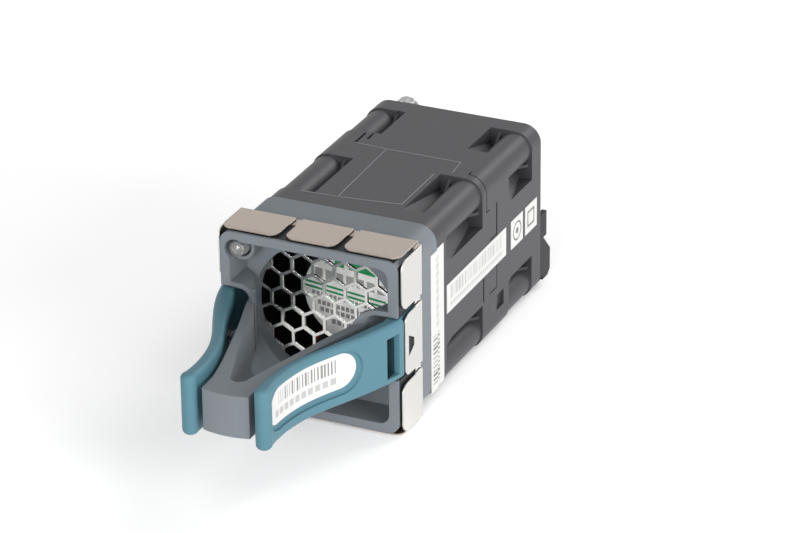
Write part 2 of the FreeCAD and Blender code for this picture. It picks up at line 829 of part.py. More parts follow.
def handle_waste(body, name, up):
    """Cut the arms down to their height, the top sloping to the nose."""
    mid, low = size.bezel_mid, size.arm_height / 2
    tall = size.tunnel_half
    start, end = -size.rim_plane, -size.nose_reach - 1
    tip = size.nose_height / 2 if up > 0 else low
    points = [(start, tall + 1), (start, low + 0.1), (start - 20.0, low), (end, tip - 0.05),
              (end, tall + 1)]
    drawing = sketch(body, name, "YZ_Plane", "shell_half_x",
                     outline([(y, mid + up * z) for y, z in points]))
    return pocket(body, drawing, "2 * shell_half_x")


def bay_plan():
    """Bays beside the duct in which the tails of the levers lie."""
    rear, floor, rim = -size.collar_depth, -size.cavity_floor, -size.rim_plane
    wide = size.collar_half_x + size.shell_half_x
    near = size.shell_half_x - size.tunnel_inset + size.tunnel_wall + 1.9
    deep = floor - 0.23 * size.cavity_depth
    right = [(wide, rear), (size.bay_floor, rear), (size.bay_floor, deep),
             (near - 0.23 * size.tunnel_slant, deep), (near - size.tunnel_slant, rim),
             (near - size.tunnel_slant, rim - 0.5), (wide, rim - 0.5)]
    return outline(right) + outline([(-x, y) for x, y in right])


def tunnel_section(side, near, far, half, radius):
    """Section of a tunnel: straight inner side with rounded corners, open to the side."""
    mid = size.bezel_mid
    slope = radius * (1 - math.sqrt(0.5))
    edges = []
    for up in (1, -1):
        start, end = (near, mid + up * (half - radius)), (near + radius, mid + up * half)
        edges.append(Part.Arc(Vector(side * start[0], start[1], 0),
                              Vector(side * (near + slope), mid + up * (half - slope), 0),
                              Vector(side * end[0], end[1], 0)))
        edges.append(line((side * end[0], end[1]), (side * far, end[1])))
    edges.append(line((side * near, mid + half - radius), (side * near, mid - half + radius)))
    edges.append(line((side * far, mid + half), (side * far, mid - half)))
    return edges


def slanted(kind, body, profile, side, length):
    """Pad or pocket that runs forward and inwards along the tunnel's slanted wall."""
    thing = body.newObject("PartDesign::" + kind, profile.Name + "_" + kind.lower())
    thing.Profile = profile
    thing.Type = 0
    thing.UseCustomVector = True
    thing.AlongSketchNormal = False
    thing.Direction = Vector(-side * size.tunnel_slant, -size.cavity_depth, 0)
    slant = "sqrt(tunnel_slant ^ 2 + cavity_depth ^ 2)"
    bind(thing, Length=f"{slant} * ({length}) / cavity_depth")
    body.Tip = thing
    DOC.recompute()
    return thing


def tunnels(body):
    """Walls round the lever tails inside the cavity, joined to the shell's sides."""
    rim, floor, wall = -size.rim_plane, -size.cavity_floor, size.cavity_half_x + 0.6
    inner = size.shell_half_x - size.tunnel_inset + size.tunnel_round - size.tunnel_slant + 0.2
    rise = (wall - inner) / size.tunnel_slant * size.cavity_depth
    for index, side in enumerate((1, -1)):
        ring = sketch(body, f"tunnel_{index}", "XZ_Plane", "cavity_floor",
                      tunnel_section(side, size.shell_half_x - size.tunnel_inset,
                                     size.cavity_half_x + 1.4, size.tunnel_half,
                                     size.tunnel_round))
        slanted("Pad", body, ring, side, "cavity_depth")
        for level, low in enumerate(("bezel_mid + bay_half", "bezel_mid - tunnel_half")):
            corner = [(side * wall, rim + rise), (side * inner, rim), (side * wall, rim)]
            shelf = sketch(body, f"shelf_{index}_{level}", "XY_Plane", low, outline(corner))
            pad(body, shelf, "shelf")


def bezel():
    """Grey moulded front: collar, shell, rim, duct mouth, lever bays and pull handle."""
    body = make_body("bezel_body")
    mid = size.bezel_mid
    collar = sketch(body, "collar", "XZ_Plane", "0",
                    rounded(0, mid, size.collar_half_x, size.collar_half_z, size.corner_round))
    pad(body, collar, "collar_depth")
    shell = sketch(body, "shell", "XZ_Plane", "collar_depth",
                   rounded(0, mid, size.shell_half_x, size.shell_half_z, size.shell_round))
    pad(body, shell, "shell_depth")
    rim = sketch(body, "rim", "XZ_Plane", "collar_depth + shell_depth",
                 rounded(0, mid, size.rim_half_x, size.rim_half_z, size.shell_round))
    pad(body, rim, "rim_depth")
    cavity = sketch(body, "cavity", "XZ_Plane", "rim_plane",
                    rounded(0, mid, size.cavity_half_x, size.cavity_half_z, 2.4))
    pocket(body, cavity, "cavity_depth")
    tunnels(body)
    boss = circle_sketch(body, "pipe_boss", "XZ_Plane", "cavity_floor", "pipe_recess + 0.7",
                         "-hole_pitch / 2 - pipe_shift", "fan_side / 2 + hole_pitch / 2")
    pad(body, boss, "cavity_depth - 2.6")
    handle = sketch(body, "handle", "XY_Plane", "bezel_mid - tunnel_half + 1", handle_plan())
    pad(body, handle, "2 * tunnel_half - 2")
    handle_waste(body, "waste_top", 1)
    handle_waste(body, "waste_bottom", -1)
    bays = sketch(body, "bays", "XY_Plane", "bezel_mid + bay_half", bay_plan())
    pocket(body, bays, "2 * bay_half")
    for index, side in enumerate((1, -1)):
        room = sketch(body, f"tail_room_{index}", "XZ_Plane", "cavity_floor",
                      tunnel_section(side, size.shell_half_x - size.tunnel_inset
                                     + size.tunnel_wall, size.shell_half_x, size.bay_half,
                                     1.9))
        slanted("Pocket", body, room, side, "cavity_depth + 0.05")
    duct(body)
    pins = sketch(body, "pin_holes", "XY_Plane", "bezel_mid + bay_half + pin_bite",
                  [Part.Circle(Vector(s * size.pin_x, -size.pin_y, 0), Vector(0, 0, 1),
                               size.pin_radius) for s in (1, -1)])
    pocket(body, pins, "2 * bay_half + 2 * pin_bite")
    return node(bezel_fittings(body), "bezel")


def duct(body):
    """Turn out the duct mouth, the seat of the grille and the throat behind it."""
    mouth, wide, throat = size.mouth_radius, size.grille_radius, size.duct_radius
    front = -size.cavity_floor - 0.1
    seat = -size.grille_seat
    points = [(0, front), (mouth, front), (mouth, seat), (wide, seat),
              (wide, seat + size.grille_thickness), (throat, 0.1), (0, 0.1)]
    drawing = sketch(body, "duct", "XY_Plane", "bezel_mid", outline(points))
    cutter = body.newObject("PartDesign::Groove", "duct_groove")
    cutter.Profile = drawing
    cutter.ReferenceAxis = (drawing, ["V_Axis"])
    cutter.Angle = 360
    body.Tip = cutter
    DOC.recompute()


def bezel_fittings(body):
    """Holes for the light pipe and screws, and the seats of the two lever springs."""
    pipe = rod("pipe_way", "pipe_radius + running_gap", "-pipe_front - 2", "pipe_front + 4",
               "-hole_pitch / 2", "fan_side / 2 + hole_pitch / 2")
    head = rod("pipe_sink", "pipe_recess", "-pipe_front - 2", "pipe_front - 11",
               "-hole_pitch / 2 - pipe_shift", "fan_side / 2 + hole_pitch / 2")
    screws = corner_posts("screw_ways", "screw_radius", "-screw_bite - 0.3", "screw_bite + 2",
                          ((1, 1), (-1, -1), (1, -1)))
    seats = []
    for side in (1, -1):
        seat = DOC.addObject("Part::Cylinder", f"spring_seat_{len(seats)}")
        seat.Placement = Placement(Vector(), Rotation(Vector(0, 1, 0), 90 * side))
        bind(seat, Radius="spring_radius + 0.45", Height="spring_seat - 10.4")
        put(seat, f"{side} * 10.4", "-spring_y", "bezel_mid")
        peg = DOC.addObject("Part::Cylinder", f"spring_peg_{len(seats)}")
        peg.Placement = Placement(Vector(), Rotation(Vector(0, 1, 0), 90 * side))
        bind(peg, Radius="spring_radius - spring_wire - 0.3", Height="spring_seat + 1 - 10.4")
        put(peg, f"{side} * 10.4", "-spring_y", "bezel_mid")
        seats += [seat, peg]
    return cut("bezel_drilled", fuse("bezel_seated", body, *seats), pipe, head, screws)


def grille():
    """Sheet-steel honeycomb disc that keeps fingers out of the fan."""
    mid = size.bezel_mid
    seat = -size.grille_seat
    disc = rod("grille_disc", "grille_radius", "-grille_seat", "grille_thickness",
               z="bezel_mid")
    limit = rod("grille_limit", "mouth_radius + 0.35", "-grille_seat - 1", "4", z="bezel_mid")
    pitch = size.grille_pitch
    corner = (pitch - size.grille_web) / math.sqrt(3)
    count = int(size.grille_radius / pitch) + 2
    holes = []
    for row in range(-count, count + 1):
        for column in range(-count, count + 1):
            x = (column + 0.5 + 0.5 * (row % 2)) * pitch + size.grille_shift_x
            z = row * pitch * math.sqrt(3) / 2 + size.grille_shift_z
            if math.hypot(x, z) > size.mouth_radius + 1.2:
                continue
            ring = [Vector(x + corner * math.sin(k * math.pi / 3), seat - 1,
                           mid + z + corner * math.cos(k * math.pi / 3)) for k in range(7)]
            holes.append(Part.Face(Part.makePolygon(ring)).extrude(Vector(0, 4, 0)))
    cells = common("grille_cells", solid("grille_holes", Part.makeCompound(holes)), limit)
    return node(cut("grille_sheet", disc, cells), "honeycomb_grille")


# --------------------------------------------------------------------- levers
def from_shoulder(shares):
    """Plan points from shares of the shell's half width and of the lever's run."""
    run = size.lever_reach - size.lever_shoulder
    return [(across * size.shell_half_x, -size.lever_shoulder - along * run)
            for across, along in shares]


def lever_outer():
    """Outer side of the right lever in plan, from its shoulder to the finger pad."""
    return from_shoulder([(1.035, 0.0), (0.911, 0.198), (0.728, 0.396), (0.565, 0.579),
                          (0.486, 0.748), (0.479, 0.936)])


def lever_inner():
    """Inner side of the right lever in plan, from the bay to the finger pad."""
    root = (size.pin_x - size.lever_tail, -size.lever_shoulder)
    return [root] + from_shoulder([(0.772, 0.153), (0.589, 0.391), (0.426, 0.584),
                                   (0.342, 0.748), (0.327, 0.941)])


def shifted(points, distance):
    """Move a plan curve inwards, square to its own run."""
    moved = []
    for index, (x, y) in enumerate(points):
        before = points[max(index - 1, 0)]
        after = points[min(index + 1, len(points) - 1)]
        run = Vector(after[0] - before[0], after[1] - before[1], 0).normalize()
        moved.append((x + run.y * distance, y - run.x * distance))
    return moved


def lever_plan():
    """Outline of the right lever in plan: tail round the pin, arm and finger pad."""
    outer, inner = lever_outer(), lever_inner()
    tail, x, y = size.lever_tail, size.pin_x, -size.pin_y
    back = Part.Arc(Vector(x + tail, y, 0), Vector(x, y + tail, 0), Vector(x - tail, y, 0))
    front = -size.lever_reach
    tip = Part.Arc(Vector(*outer[-1], 0),
                   Vector((outer[-1][0] + inner[-1][0]) / 2, front, 0), Vector(*inner[-1], 0))
    return [back, line((x - tail, y), inner[0]), curve(inner), tip, curve(outer[::-1]),
            line(outer[0], (x + tail, -size.lever_shoulder)),
            line((x + tail, -size.lever_shoulder), (x + tail, y))]


def stadium(low_y, high_y, low_z, high_z):
    """Long opening with round ends, drawn in the YZ plane."""
    radius = (high_z - low_z) / 2
    mid = (high_z + low_z) / 2
    return rounded((low_y + high_y) / 2, mid, (high_y - low_y) / 2, radius, radius - 0.01)


def skin_strip(name, near, far, low_y, high_y, low_z, high_z):
    """Piece of the lever's outer skin between two depths, bounded by a stadium."""
    near_line = shifted(lever_outer(), near)
    far_line = shifted(lever_outer(), far)
    edges = [curve(near_line), line(near_line[-1], far_line[-1]), curve(far_line[::-1]),
             line(far_line[0], near_line[0])]
    wire = Part.Wire(Part.__sortEdges__([edge.toShape() for edge in edges]))
    slab = Part.Face(wire).extrude(Vector(0, 0, 40))
    frame = Part.Wire(Part.__sortEdges__(
        [edge.toShape() for edge in stadium(low_y, high_y, low_z, high_z)]))
    frame = frame.transformGeometry(FreeCAD.Matrix(0, 0, 1, 0, 1, 0, 0, 0, 0, 1, 0, 0, 0, 0, 0, 1))
    window = Part.Face(frame).extrude(Vector(40, 0, 0))
    return slab.common(window)


def lever(side):
    """Teal squeeze lever with its catch, label recess and spring pocket."""
    name = "right" if side > 0 else "left"
    body = make_body(name + "_lever_body")
    plan = lever_plan()
    arm = sketch(body, name + "_plan", "XY_Plane", "bezel_mid - lever_height / 2", plan)
    pad(body, arm, "lever_height")
    rounded_lever(body, name)
    mid = size.bezel_mid
    bore = post(name + "_pin_bore", "pin_radius + running_gap", "pin_x", "-pin_y",
                "bezel_mid - lever_height", "2 * lever_height")
    well = box(name + "_slot", "shell_half_x - 0.6 - slot_depth", "-lever_shoulder - 5.1",
               "bezel_mid - 5.2", "6", "3.6", "9.2")
    pocket_round = DOC.addObject("Part::Cylinder", name + "_spring_pocket")
    pocket_round.Placement = Placement(Vector(), Rotation(Vector(0, 1, 0), 90))
    bind(pocket_round, Radius="spring_radius + 0.5", Height="spring_floor - 10")
    put(pocket_round, "10", "-spring_y", "bezel_mid")
    recess = solid(name + "_recess",
                   skin_strip(name, -1.0, size.label_recess, -size.lever_reach + 1.6,
                              -0.498 * size.lever_reach, mid - size.lever_height / 2 + 2.45,
                              mid + size.lever_height / 2 - 1.55))
    cored = cut(name + "_cored", body, bore, well, pocket_round, recess)
    catch = lever_catch(name)
    whole = fuse(name + "_whole", cored, catch)
    if side > 0:
        return node(whole, "latch_lever_right")
    mirror = DOC.addObject("Part::Mirroring", "left_lever_mirror")
    mirror.Source = whole
    mirror.Normal = Vector(1, 0, 0)
    return node(mirror, "latch_lever_left")


def soften(body, name, radius, wanted):
    """Fillet the edges of a body that a test picks out."""
    edges = [f"Edge{i}" for i, edge in enumerate(body.Shape.Edges, start=1)
             if wanted(edge.BoundBox)]
    before = body.Tip
    fillet = body.newObject("PartDesign::Fillet", name)
    fillet.Base = (before, edges)
    bind(fillet, Radius=radius)
    body.Tip = fillet
    DOC.recompute()


def rounded_lever(body, name):
    """Round the finger pad's front corners and the long edges of the lever."""
    def upright_at(x, y):
        return lambda b: (b.ZLength > 1 and abs(b.XMin - x) + abs(b.YMin - y) < 0.1
                          and abs(b.XMax - x) + abs(b.YMax - y) < 0.1)

    def long_edge(b):
        level = b.ZLength < 0.01
        return level and b.YMax < -size.lever_shoulder + 0.1 and b.XMin < 20

    soften(body, name + "_pad_outer", "1.6 * lever_edge", upright_at(*lever_outer()[-1]))
    soften(body, name + "_pad_inner", "1.06 * lever_edge", upright_at(*lever_inner()[-1]))
    soften(body, name + "_soft_edges", "lever_edge", long_edge)


def lever_catch(name):
    """Wedge on the lever's tail that stands in the window of the middle gasket finger."""
    x = size.pin_x + size.lever_tail - 0.3
    tip = size.shell_half_x + size.gasket_rise - 0.25
    tall = size.catch_height / 2
    mid = size.bezel_mid - 0.5
    points = [Vector(x, -15.4, mid - tall), Vector(x, -15.4, mid + tall),
              Vector(x, -13.1, mid + 0.7), Vector(x, -13.1, mid - 0.7)]
    wedge = Part.Face(Part.makePolygon(points + points[:1])).extrude(Vector(tip - x, 0, 0))
    return solid(name + "_catch", wedge)


def latch_pin(side):
    """Steel pivot pin, held at both ends in the bezel."""
    name = "right" if side > 0 else "left"
    pin = post(name + "_pin_stock", "pin_radius", f"{side} * pin_x", "-pin_y",
               "bezel_mid - bay_half - pin_bite", "2 * bay_half + 2 * pin_bite")
    return node(fuse_one(name + "_pin", pin), "latch_pin_" + name)


def fuse_one(name, thing):
    """Wrap one primitive, so that the finished piece has a placement of its own."""
    whole = DOC.addObject("Part::Compound", name)
    whole.Links = [thing]
    return whole


def latch_spring(side):
    """Coil spring that pushes the lever outwards, lofted through small sections."""
    name = "right" if side > 0 else "left"
    wire, radius = size.spring_wire, size.spring_radius
    length = size.spring_floor - size.spring_seat - 2 * wire - 0.1
    steps = 10 * int(size.spring_turns)
    start = size.spring_seat + wire + 0.05
    sections = []
    for step in range(steps + 1):
        turn = step * math.pi / 5
        x = start + length * step / steps
        ring = []
        for corner in range(4):
            around = math.pi / 4 + corner * math.pi / 2
            reach = radius + wire * math.cos(around)
            ring.append(Vector(side * (x + wire * math.sin(around)),
                               reach * math.cos(turn) - size.spring_y,
                               reach * math.sin(turn) + size.bezel_mid))
        sections.append(Part.makePolygon(ring + ring[:1]))
    coil = Part.makeLoft(sections, True, True)
    return node(solid(name + "_spring", coil), "latch_spring_" + name)


# -------------------------------------------------------------------- gaskets
def gasket(label, angle, height, middle, half_length, window):
    """Strip of three bent spring fingers on one side of the bezel."""
    body = make_body(label + "_body")
    rise, sheet, foot = size.gasket_rise, size.gasket_sheet, size.gasket_foot
    back = -size.collar_depth - 0.1
    front = -size.collar_depth - size.shell_depth
    section = [(back, 0), (back, rise - 0.2), (back - 0.3, rise), (front + 0.6, rise),
               (front, rise - 0.12), (front, rise - sheet - 0.12), (front + 0.6, rise - sheet),
               (back - sheet, rise - sheet), (back - sheet, foot), (back - 2.6, foot),
               (back - 2.6, 0)]
    base = size.shell_half_z if height == "shell_half_z" else size.shell_half_x
    drawing = sketch(body, label + "_section", "YZ_Plane", f"-{half_length}",
                     outline([(y, base + z) for y, z in section]))
    pad(body, drawing, f"2 * {half_length}")
    step = size.finger_step if window else 0.0
    slots = sketch(body, label + "_slots", "XY_Plane", f"{height} + gasket_rise + 1",
                   slot_plan(middle, getattr(size, half_length), front, back, step))
    pocket(body, slots, "1 + gasket_rise - gasket_foot")
    if window:
        side = middle / 2 - size.finger_round + 0.1
        trim = sketch(body, label + "_trim", "XY_Plane", f"{height} + gasket_rise + 1",
                      outline([(-side, front - 1), (side, front - 1), (side, front + step),
                               (-side, front + step)]))
        pocket(body, trim, "2 + gasket_rise")
        shift = window * 0.5
        opening = [(-2.45 + shift, -15.6), (2.45 + shift, -15.6), (0.85 + shift, -12.9),
                   (-0.85 + shift, -12.9)]
        hole = sketch(body, label + "_window", "XY_Plane", f"{height} + gasket_rise + 1",
                      outline(opening))
        pocket(body, hole, "2 + gasket_rise")
    body.Placement = Placement(Vector(0, 0, size.bezel_mid), Rotation(Vector(0, 1, 0), angle))
    body.setExpression("Placement.Base.z", formula("bezel_mid"))
    return node(body, label)


def corner_arc(x, y, side):
    """Rounded front corner of a finger whose side lies at x and whose front lies at y."""
    radius = size.finger_round
    slope = radius * (1 - math.sqrt(0.5))
    return Part.Arc(Vector(x - side * radius, y, 0), Vector(x - side * slope, y + slope, 0),
                    Vector(x, y + radius, 0))


def slot_plan(middle, half, front, back, step):
    """Gaps between the fingers with the fingers' round corners, and the two end corners."""
    gap, radius, low = size.finger_gap / 2, size.finger_round, front - 1
    edges = []
    for side in (1, -1):
        near, far = side * middle / 2, side * (middle / 2 + 2 * gap)
        edges += [line((near - side * radius, low), (near - side * radius, front + step)),
                  corner_arc(near, front + step, side),
                  line((near, front + step + radius), (near, back + 1)),
                  line((near, back + 1), (far, back + 1)),
                  line((far, back + 1), (far, front + radius)), corner_arc(far, front, -side),
                  line((far + side * radius, front), (far + side * radius, low)),
                  line((far + side * radius, low), (near - side * radius, low))]
        end = side * half
        edges += [line((end - side * radius, low), (end - side * radius, front)),
                  corner_arc(end, front, side),
                  line((end, front + radius), (end + side, front + radius)),
                  line((end + side, front + radius), (end + side, low)),
                  line((end + side, low), (end - side * radius, low))]
    return edges


def gaskets():
    gasket("gasket_top", 0, "shell_half_z", size.top_finger, "gasket_half_x", 0)
    gasket("gasket_bottom", 180, "shell_half_z", size.top_finger, "gasket_half_x", 0)
    gasket("gasket_right", 90, "shell_half_x", size.side_finger, "gasket_half_z", 1)
    gasket("gasket_left", -90, "shell_half_x", size.side_finger, "gasket_half_z", -1)


# ------------------------------------------------------- light pipe and screws
def light_pipe():
    """Clear rod that carries the status light from the rear to the bezel."""
    x, z = "-hole_pitch / 2", "fan_side / 2 + hole_pitch / 2"
    stem = rod("pipe_stem", "pipe_radius", "-pipe_front + 1", "pipe_front + pipe_rear - 2", x, z)
    middle = f"{x} - pipe_shift"
    head = rod("pipe_cap", "pipe_head", "-pipe_front", "pipe_front - 13", middle, z)
    dome = DOC.addObject("Part::Sphere", "pipe_dome")
    bind(dome, Radius="pipe_head + 0.35")
    put(dome, middle, "-pipe_front + 1.25", z)
    lens = common("pipe_lens", dome, rod("pipe_lens_limit", "pipe_head", "-pipe_front - 3", "3.2",
                                         middle, z))
    collector = rod("pipe_collector", "collector_radius", "pipe_rear - collector_length",
                    "collector_length", f"{x} + collector_shift", z)
    return node(fuse("pipe_whole", stem, head, lens, collector), "light_pipe")


def fan_screws():
    """Three long screws through the corner tubes into the bezel."""
    group = []
    for sx, sz in ((1, 1), (-1, -1), (1, -1)):
        index = len(group)
        x, z = f"{sx} * hole_pitch / 2", f"fan_side / 2 + {sz} * hole_pitch / 2"
        stem = rod(f"screw_stem_{index}", "screw_radius", "-screw_bite",
                   "screw_bite + 2 * frame_length - 1", x, z)
        head = rod(f"screw_head_{index}", "screw_head", "2 * frame_length - 1.55", "1.4", x, z)
        drive = box(f"screw_drive_a_{index}", f"{x} - 1.4", "2 * frame_length - 0.9",
                    f"{z} - 0.3", "2.8", "2", "0.6")
        cross = box(f"screw_drive_b_{index}", f"{x} - 0.3", "2 * frame_length - 0.9",
                    f"{z} - 1.4", "0.6", "2", "2.8")
        group.append(cut(f"screw_{index}", fuse(f"screw_blank_{index}", stem, head), drive,
                         cross))
    return node(fuse("screw_group", *group), "fan_screws")


# ------------------------------------------------------------- rear connector
def rear_bracket():
    """Black bracket across the bottom of the rear, with the tab beside the inlet."""
    rear = "2 * frame_length"
    back = box("bracket_back", "-fan_side / 2", rear, "0.2", "fan_side", "bracket_thickness",
               "block_top - 0.2")
    inlet = rod("bracket_inlet", "duct_radius + 0.3", f"{rear} - 1", "8")
    sill = box("bracket_sill", "-fan_side / 2 + 3.4", rear, "0.2", "block_left + 16.6", "4.7",
               "0.35")
    tab = box("bracket_tab_block", "bracket_inset", rear, "block_top",
              "fan_side / 2 - bracket_inset", "bracket_tab", "bracket_top - block_top")
    lead_way = box("bracket_lead_way", "-lead_channel_x - lead_channel_width / 2", f"{rear} - 1",
                   "0.1", "lead_channel_width + 2", "2.4", "2.4")
    body = fuse("bracket_body", cut("bracket_plate", back, inlet, lead_way), sill, tab)
    limit = make_body("bracket_limit")
    half = size.fan_side / 2
    profile = sketch(limit, "bracket_limit_outline", "XZ_Plane", "-2 * frame_length + 1",
                     rounded(0, half, half, half, size.corner_round))
    pad(limit, profile, "12", backwards=True)
    return node(common("bracket", body, limit), "connector_bracket")


def connector():
    """Blind-mate connector block in the lower right corner, with its contact blades."""
    rear = 2 * size.frame_length + size.bracket_thickness
    reach = 2 * size.frame_length + size.block_reach
    low, high = size.block_bottom, size.block_top
    body = make_body("connector_body")
    points = [(rear, high), (rear, low), (reach - 1.4, low), (reach, low + 1.1),
              (reach, high - 4.1), (rear + 0.4, high)]
    side = sketch(body, "connector_side", "YZ_Plane", "block_left", outline(points))
    pad(body, side, "fan_side / 2 - block_left")
    wall = size.socket_wall
    mouth = sketch(body, "connector_mouth", "XZ_Plane",
                   "-2 * frame_length - block_reach - 0.5",
                   rounded((size.block_left + size.fan_side / 2) / 2, (low + high - 3) / 2,
                           (size.fan_side / 2 - size.block_left) / 2 - wall,
                           (high - 4.1 - low - 1.1) / 2 - 0.3, 0.4))
    pocket(body, mouth, "socket_depth + 0.5", backwards=True)
    node(body, "connector_housing")
    contacts = []
    count = int(size.contact_count)
    width = (size.fan_side / 2 - size.block_left - 2 * wall) / count
    for index in range(count):
        x = size.block_left + wall + (index + 0.5) * width - size.contact_width / 2
        contacts.append(Part.makeBox(size.contact_width, size.socket_depth - 0.4, 1.6,
                                     Vector(x, reach - size.socket_depth, (low + high - 3) / 2
                                            - 0.8)))
    return node(solid("contact_blades", Part.makeCompound(contacts)), "connector_contacts")


# ---------------------------------------------------------------------- leads
def tube_along(points, radius, bend):
    """Round wire along straight runs that are joined by tangent arcs."""
    pieces = []
    start = points[0]
    for before, corner, after in zip(points, points[1:], points[2:]):
        into = (corner - before).normalize()
        out = (after - corner).normalize()
        turn = into.getAngle(out)
        setback = bend * math.tan(turn / 2)
        first = corner - into * setback
        pieces.append(Part.makeCylinder(radius, (first - start).Length, start, into))
        axis = into.cross(out).normalize()
        disc = Part.Face(Part.Wire(Part.makeCircle(radius, first, into)))
        pieces.append(disc.revolve(first + axis.cross(into) * bend, axis, math.degrees(turn)))
        start = corner + out * setback
    last = points[-1] - start
    pieces.append(Part.makeCylinder(radius, last.Length, start, last))
    tube = pieces[0].fuse(pieces[1:])
    if len(tube.Solids) != 1:
        raise RuntimeError("a lead is in more than one length")
    return tube


def lead_direction():
    """Unit vector from the motor axis towards the middle of the lead groove."""
    down = Vector(-size.lead_channel_x, 0, size.lead_height - size.fan_side / 2)
    return down.normalize()


def lead(label, index, start):
    """One insulated motor lead: along a vane, down the groove and into the connector."""
    half = size.fan_side / 2
    offset = (index - 1) * size.lead_pitch
    x = -size.lead_channel_x + offset
    z = size.lead_height
    rear = 2 * size.frame_length + size.bracket_thickness + 0.5 + 2 * size.lead_pitch
    rear -= size.lead_pitch * index
    out = Vector(x, start + size.lead_plane, z)
    reach = (out - Vector(0, out.y, half)).dot(lead_direction()) - size.board_radius
    points = [out - lead_direction() * reach, out, Vector(x, rear, z),
              Vector(size.block_left, rear, size.block_bottom + size.lead_entry)]
    return node(solid(label + "_wire", tube_along(points, size.lead_radius, size.lead_bend)),
                label)


# --------------------------------------------------------------------- labels
def labels():
    """Thin blank stickers on the hub, on the right side of the fan and over the seam."""
    half = size.fan_side / 2
    thick = size.label_thickness
    disc = rod("hub_sticker", "base_radius - 0.2", "base_recess - label_thickness",
               "label_thickness")
    node(fuse_one("hub_sticker_whole", disc), "hub_label")
    collar = size.collar_half_x
    low, high = (0.0, 0.5) if collar > half else (-0.5, 0.0)
    lift = 0.05 if collar > half else -0.05
    bend = [Vector(collar, -3.2, 0), Vector(collar, low, 0), Vector(half, high, 0),
            Vector(half, 3.9, 0), Vector(half + thick, 3.9, 0),
            Vector(half + thick, high + lift, 0), Vector(collar + thick, low + lift, 0),
            Vector(collar + thick, -3.2, 0)]
    strip = Part.Face(Part.makePolygon(bend + bend[:1])).extrude(Vector(0, 0, 32.0))
    strip.translate(Vector(0, 0, 2.7))
    node(solid("seam_strip", strip), "seam_label")
    long_one = box("frame_sticker", "fan_side / 2", "5.5", "17.4", "label_thickness", "31.2",
                   "6.6")
    node(fuse_one("frame_sticker_whole", long_one), "frame_label")
    pair = [box(f"small_sticker_{i}", "fan_side / 2", y, "17.3", "label_thickness", "6.5", "6.7")
            for i, y in enumerate(("39.4", "47.2"))]
    node(fuse("small_stickers", *pair), "small_labels")
    mid = size.bezel_mid
    tag = skin_strip("lever_tag", size.label_recess - thick, size.label_recess,
                     -size.lever_reach + 2.0, -0.52 * size.lever_reach,
                     mid - size.lever_height / 2 + 3.85, mid + size.lever_height / 2 - 1.85)
    node(solid("lever_tag_sheet", tag), "lever_label")


def check_objects():
    """Stop before anything is written if an object failed or a shape is not sound."""
    for thing in DOC.Objects:
        if "Invalid" in thing.State or "Error" in thing.State:
            raise RuntimeError(f"{thing.Label}: {thing.State}")
    for thing in NODES:
        shape = thing.Shape
        if shape.isNull() or not shape.isValid() or not shape.Solids:
            raise RuntimeError(f"{thing.Label} has no sound solid")


def move_to_origin():
    """Shift all pieces so that the origin lies at the bottom centre of the module."""
    for thing in NODES:
        thing.setExpression("Placement.Base.y",
                            formula("lever_reach / 2 - (2 * frame_length + block_reach) / 2"))


def main():
    outlet_frame()
    inlet_frame()
    motor("outlet", "0", 0.0, int(size.outlet_blades), 1)
    motor("inlet", "frame_length", size.frame_length, int(size.inlet_blades), -1)
    bezel()
    grille()
    for side in (1, -1):
        lever(side)
        latch_pin(side)
        latch_spring(side)
    gaskets()
    light_pipe()
    fan_screws()
    rear_bracket()
    connector()
    lead("red_lead", 0, 0.0)
    lead("black_lead", 1, 0.0)
    lead("inlet_lead", 2, size.frame_length)
    labels()
    DOC.recompute()
    move_to_origin()
    DOC.recompute()
    check_objects()
    os.makedirs("parts", exist_ok=True)
    for thing in NODES:
        thing.Shape.exportStep(f"parts/{thing.Label}.step")
    print(len(NODES), "nodes written")


main()
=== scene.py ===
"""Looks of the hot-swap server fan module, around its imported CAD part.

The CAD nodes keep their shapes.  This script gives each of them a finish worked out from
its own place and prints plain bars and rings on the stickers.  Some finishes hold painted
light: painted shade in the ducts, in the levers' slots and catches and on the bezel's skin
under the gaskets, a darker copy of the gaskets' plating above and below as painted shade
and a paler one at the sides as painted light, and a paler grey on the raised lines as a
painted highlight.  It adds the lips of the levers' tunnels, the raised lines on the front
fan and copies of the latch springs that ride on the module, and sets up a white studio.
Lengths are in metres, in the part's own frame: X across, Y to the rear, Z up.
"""
import math

import bmesh
import bpy
from mathutils import Matrix, Vector


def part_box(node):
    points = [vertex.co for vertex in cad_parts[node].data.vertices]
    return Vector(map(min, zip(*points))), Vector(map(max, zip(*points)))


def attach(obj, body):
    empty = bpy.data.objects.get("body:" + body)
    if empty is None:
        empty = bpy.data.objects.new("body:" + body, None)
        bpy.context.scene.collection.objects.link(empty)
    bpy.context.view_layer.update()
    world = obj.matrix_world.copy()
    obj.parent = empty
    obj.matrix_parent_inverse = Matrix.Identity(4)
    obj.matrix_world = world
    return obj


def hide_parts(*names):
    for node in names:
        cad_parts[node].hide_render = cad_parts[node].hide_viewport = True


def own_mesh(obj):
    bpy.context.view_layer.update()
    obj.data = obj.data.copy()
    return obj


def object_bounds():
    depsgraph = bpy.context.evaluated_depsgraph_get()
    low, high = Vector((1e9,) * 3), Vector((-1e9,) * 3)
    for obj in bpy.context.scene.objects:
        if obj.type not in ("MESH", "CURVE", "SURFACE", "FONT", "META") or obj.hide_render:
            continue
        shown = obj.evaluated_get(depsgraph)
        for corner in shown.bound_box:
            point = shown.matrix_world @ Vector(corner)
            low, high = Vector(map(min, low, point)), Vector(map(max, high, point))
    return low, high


bl_info = {
    "name": "Server fan module looks",
    "version": (1, 0, 0),
    "blender": (4, 2, 0),
    "location": "3D View > Sidebar > Fan module",
    "description": "Finishes, stickers and studio for the server fan module",
    "category": "Object",
}

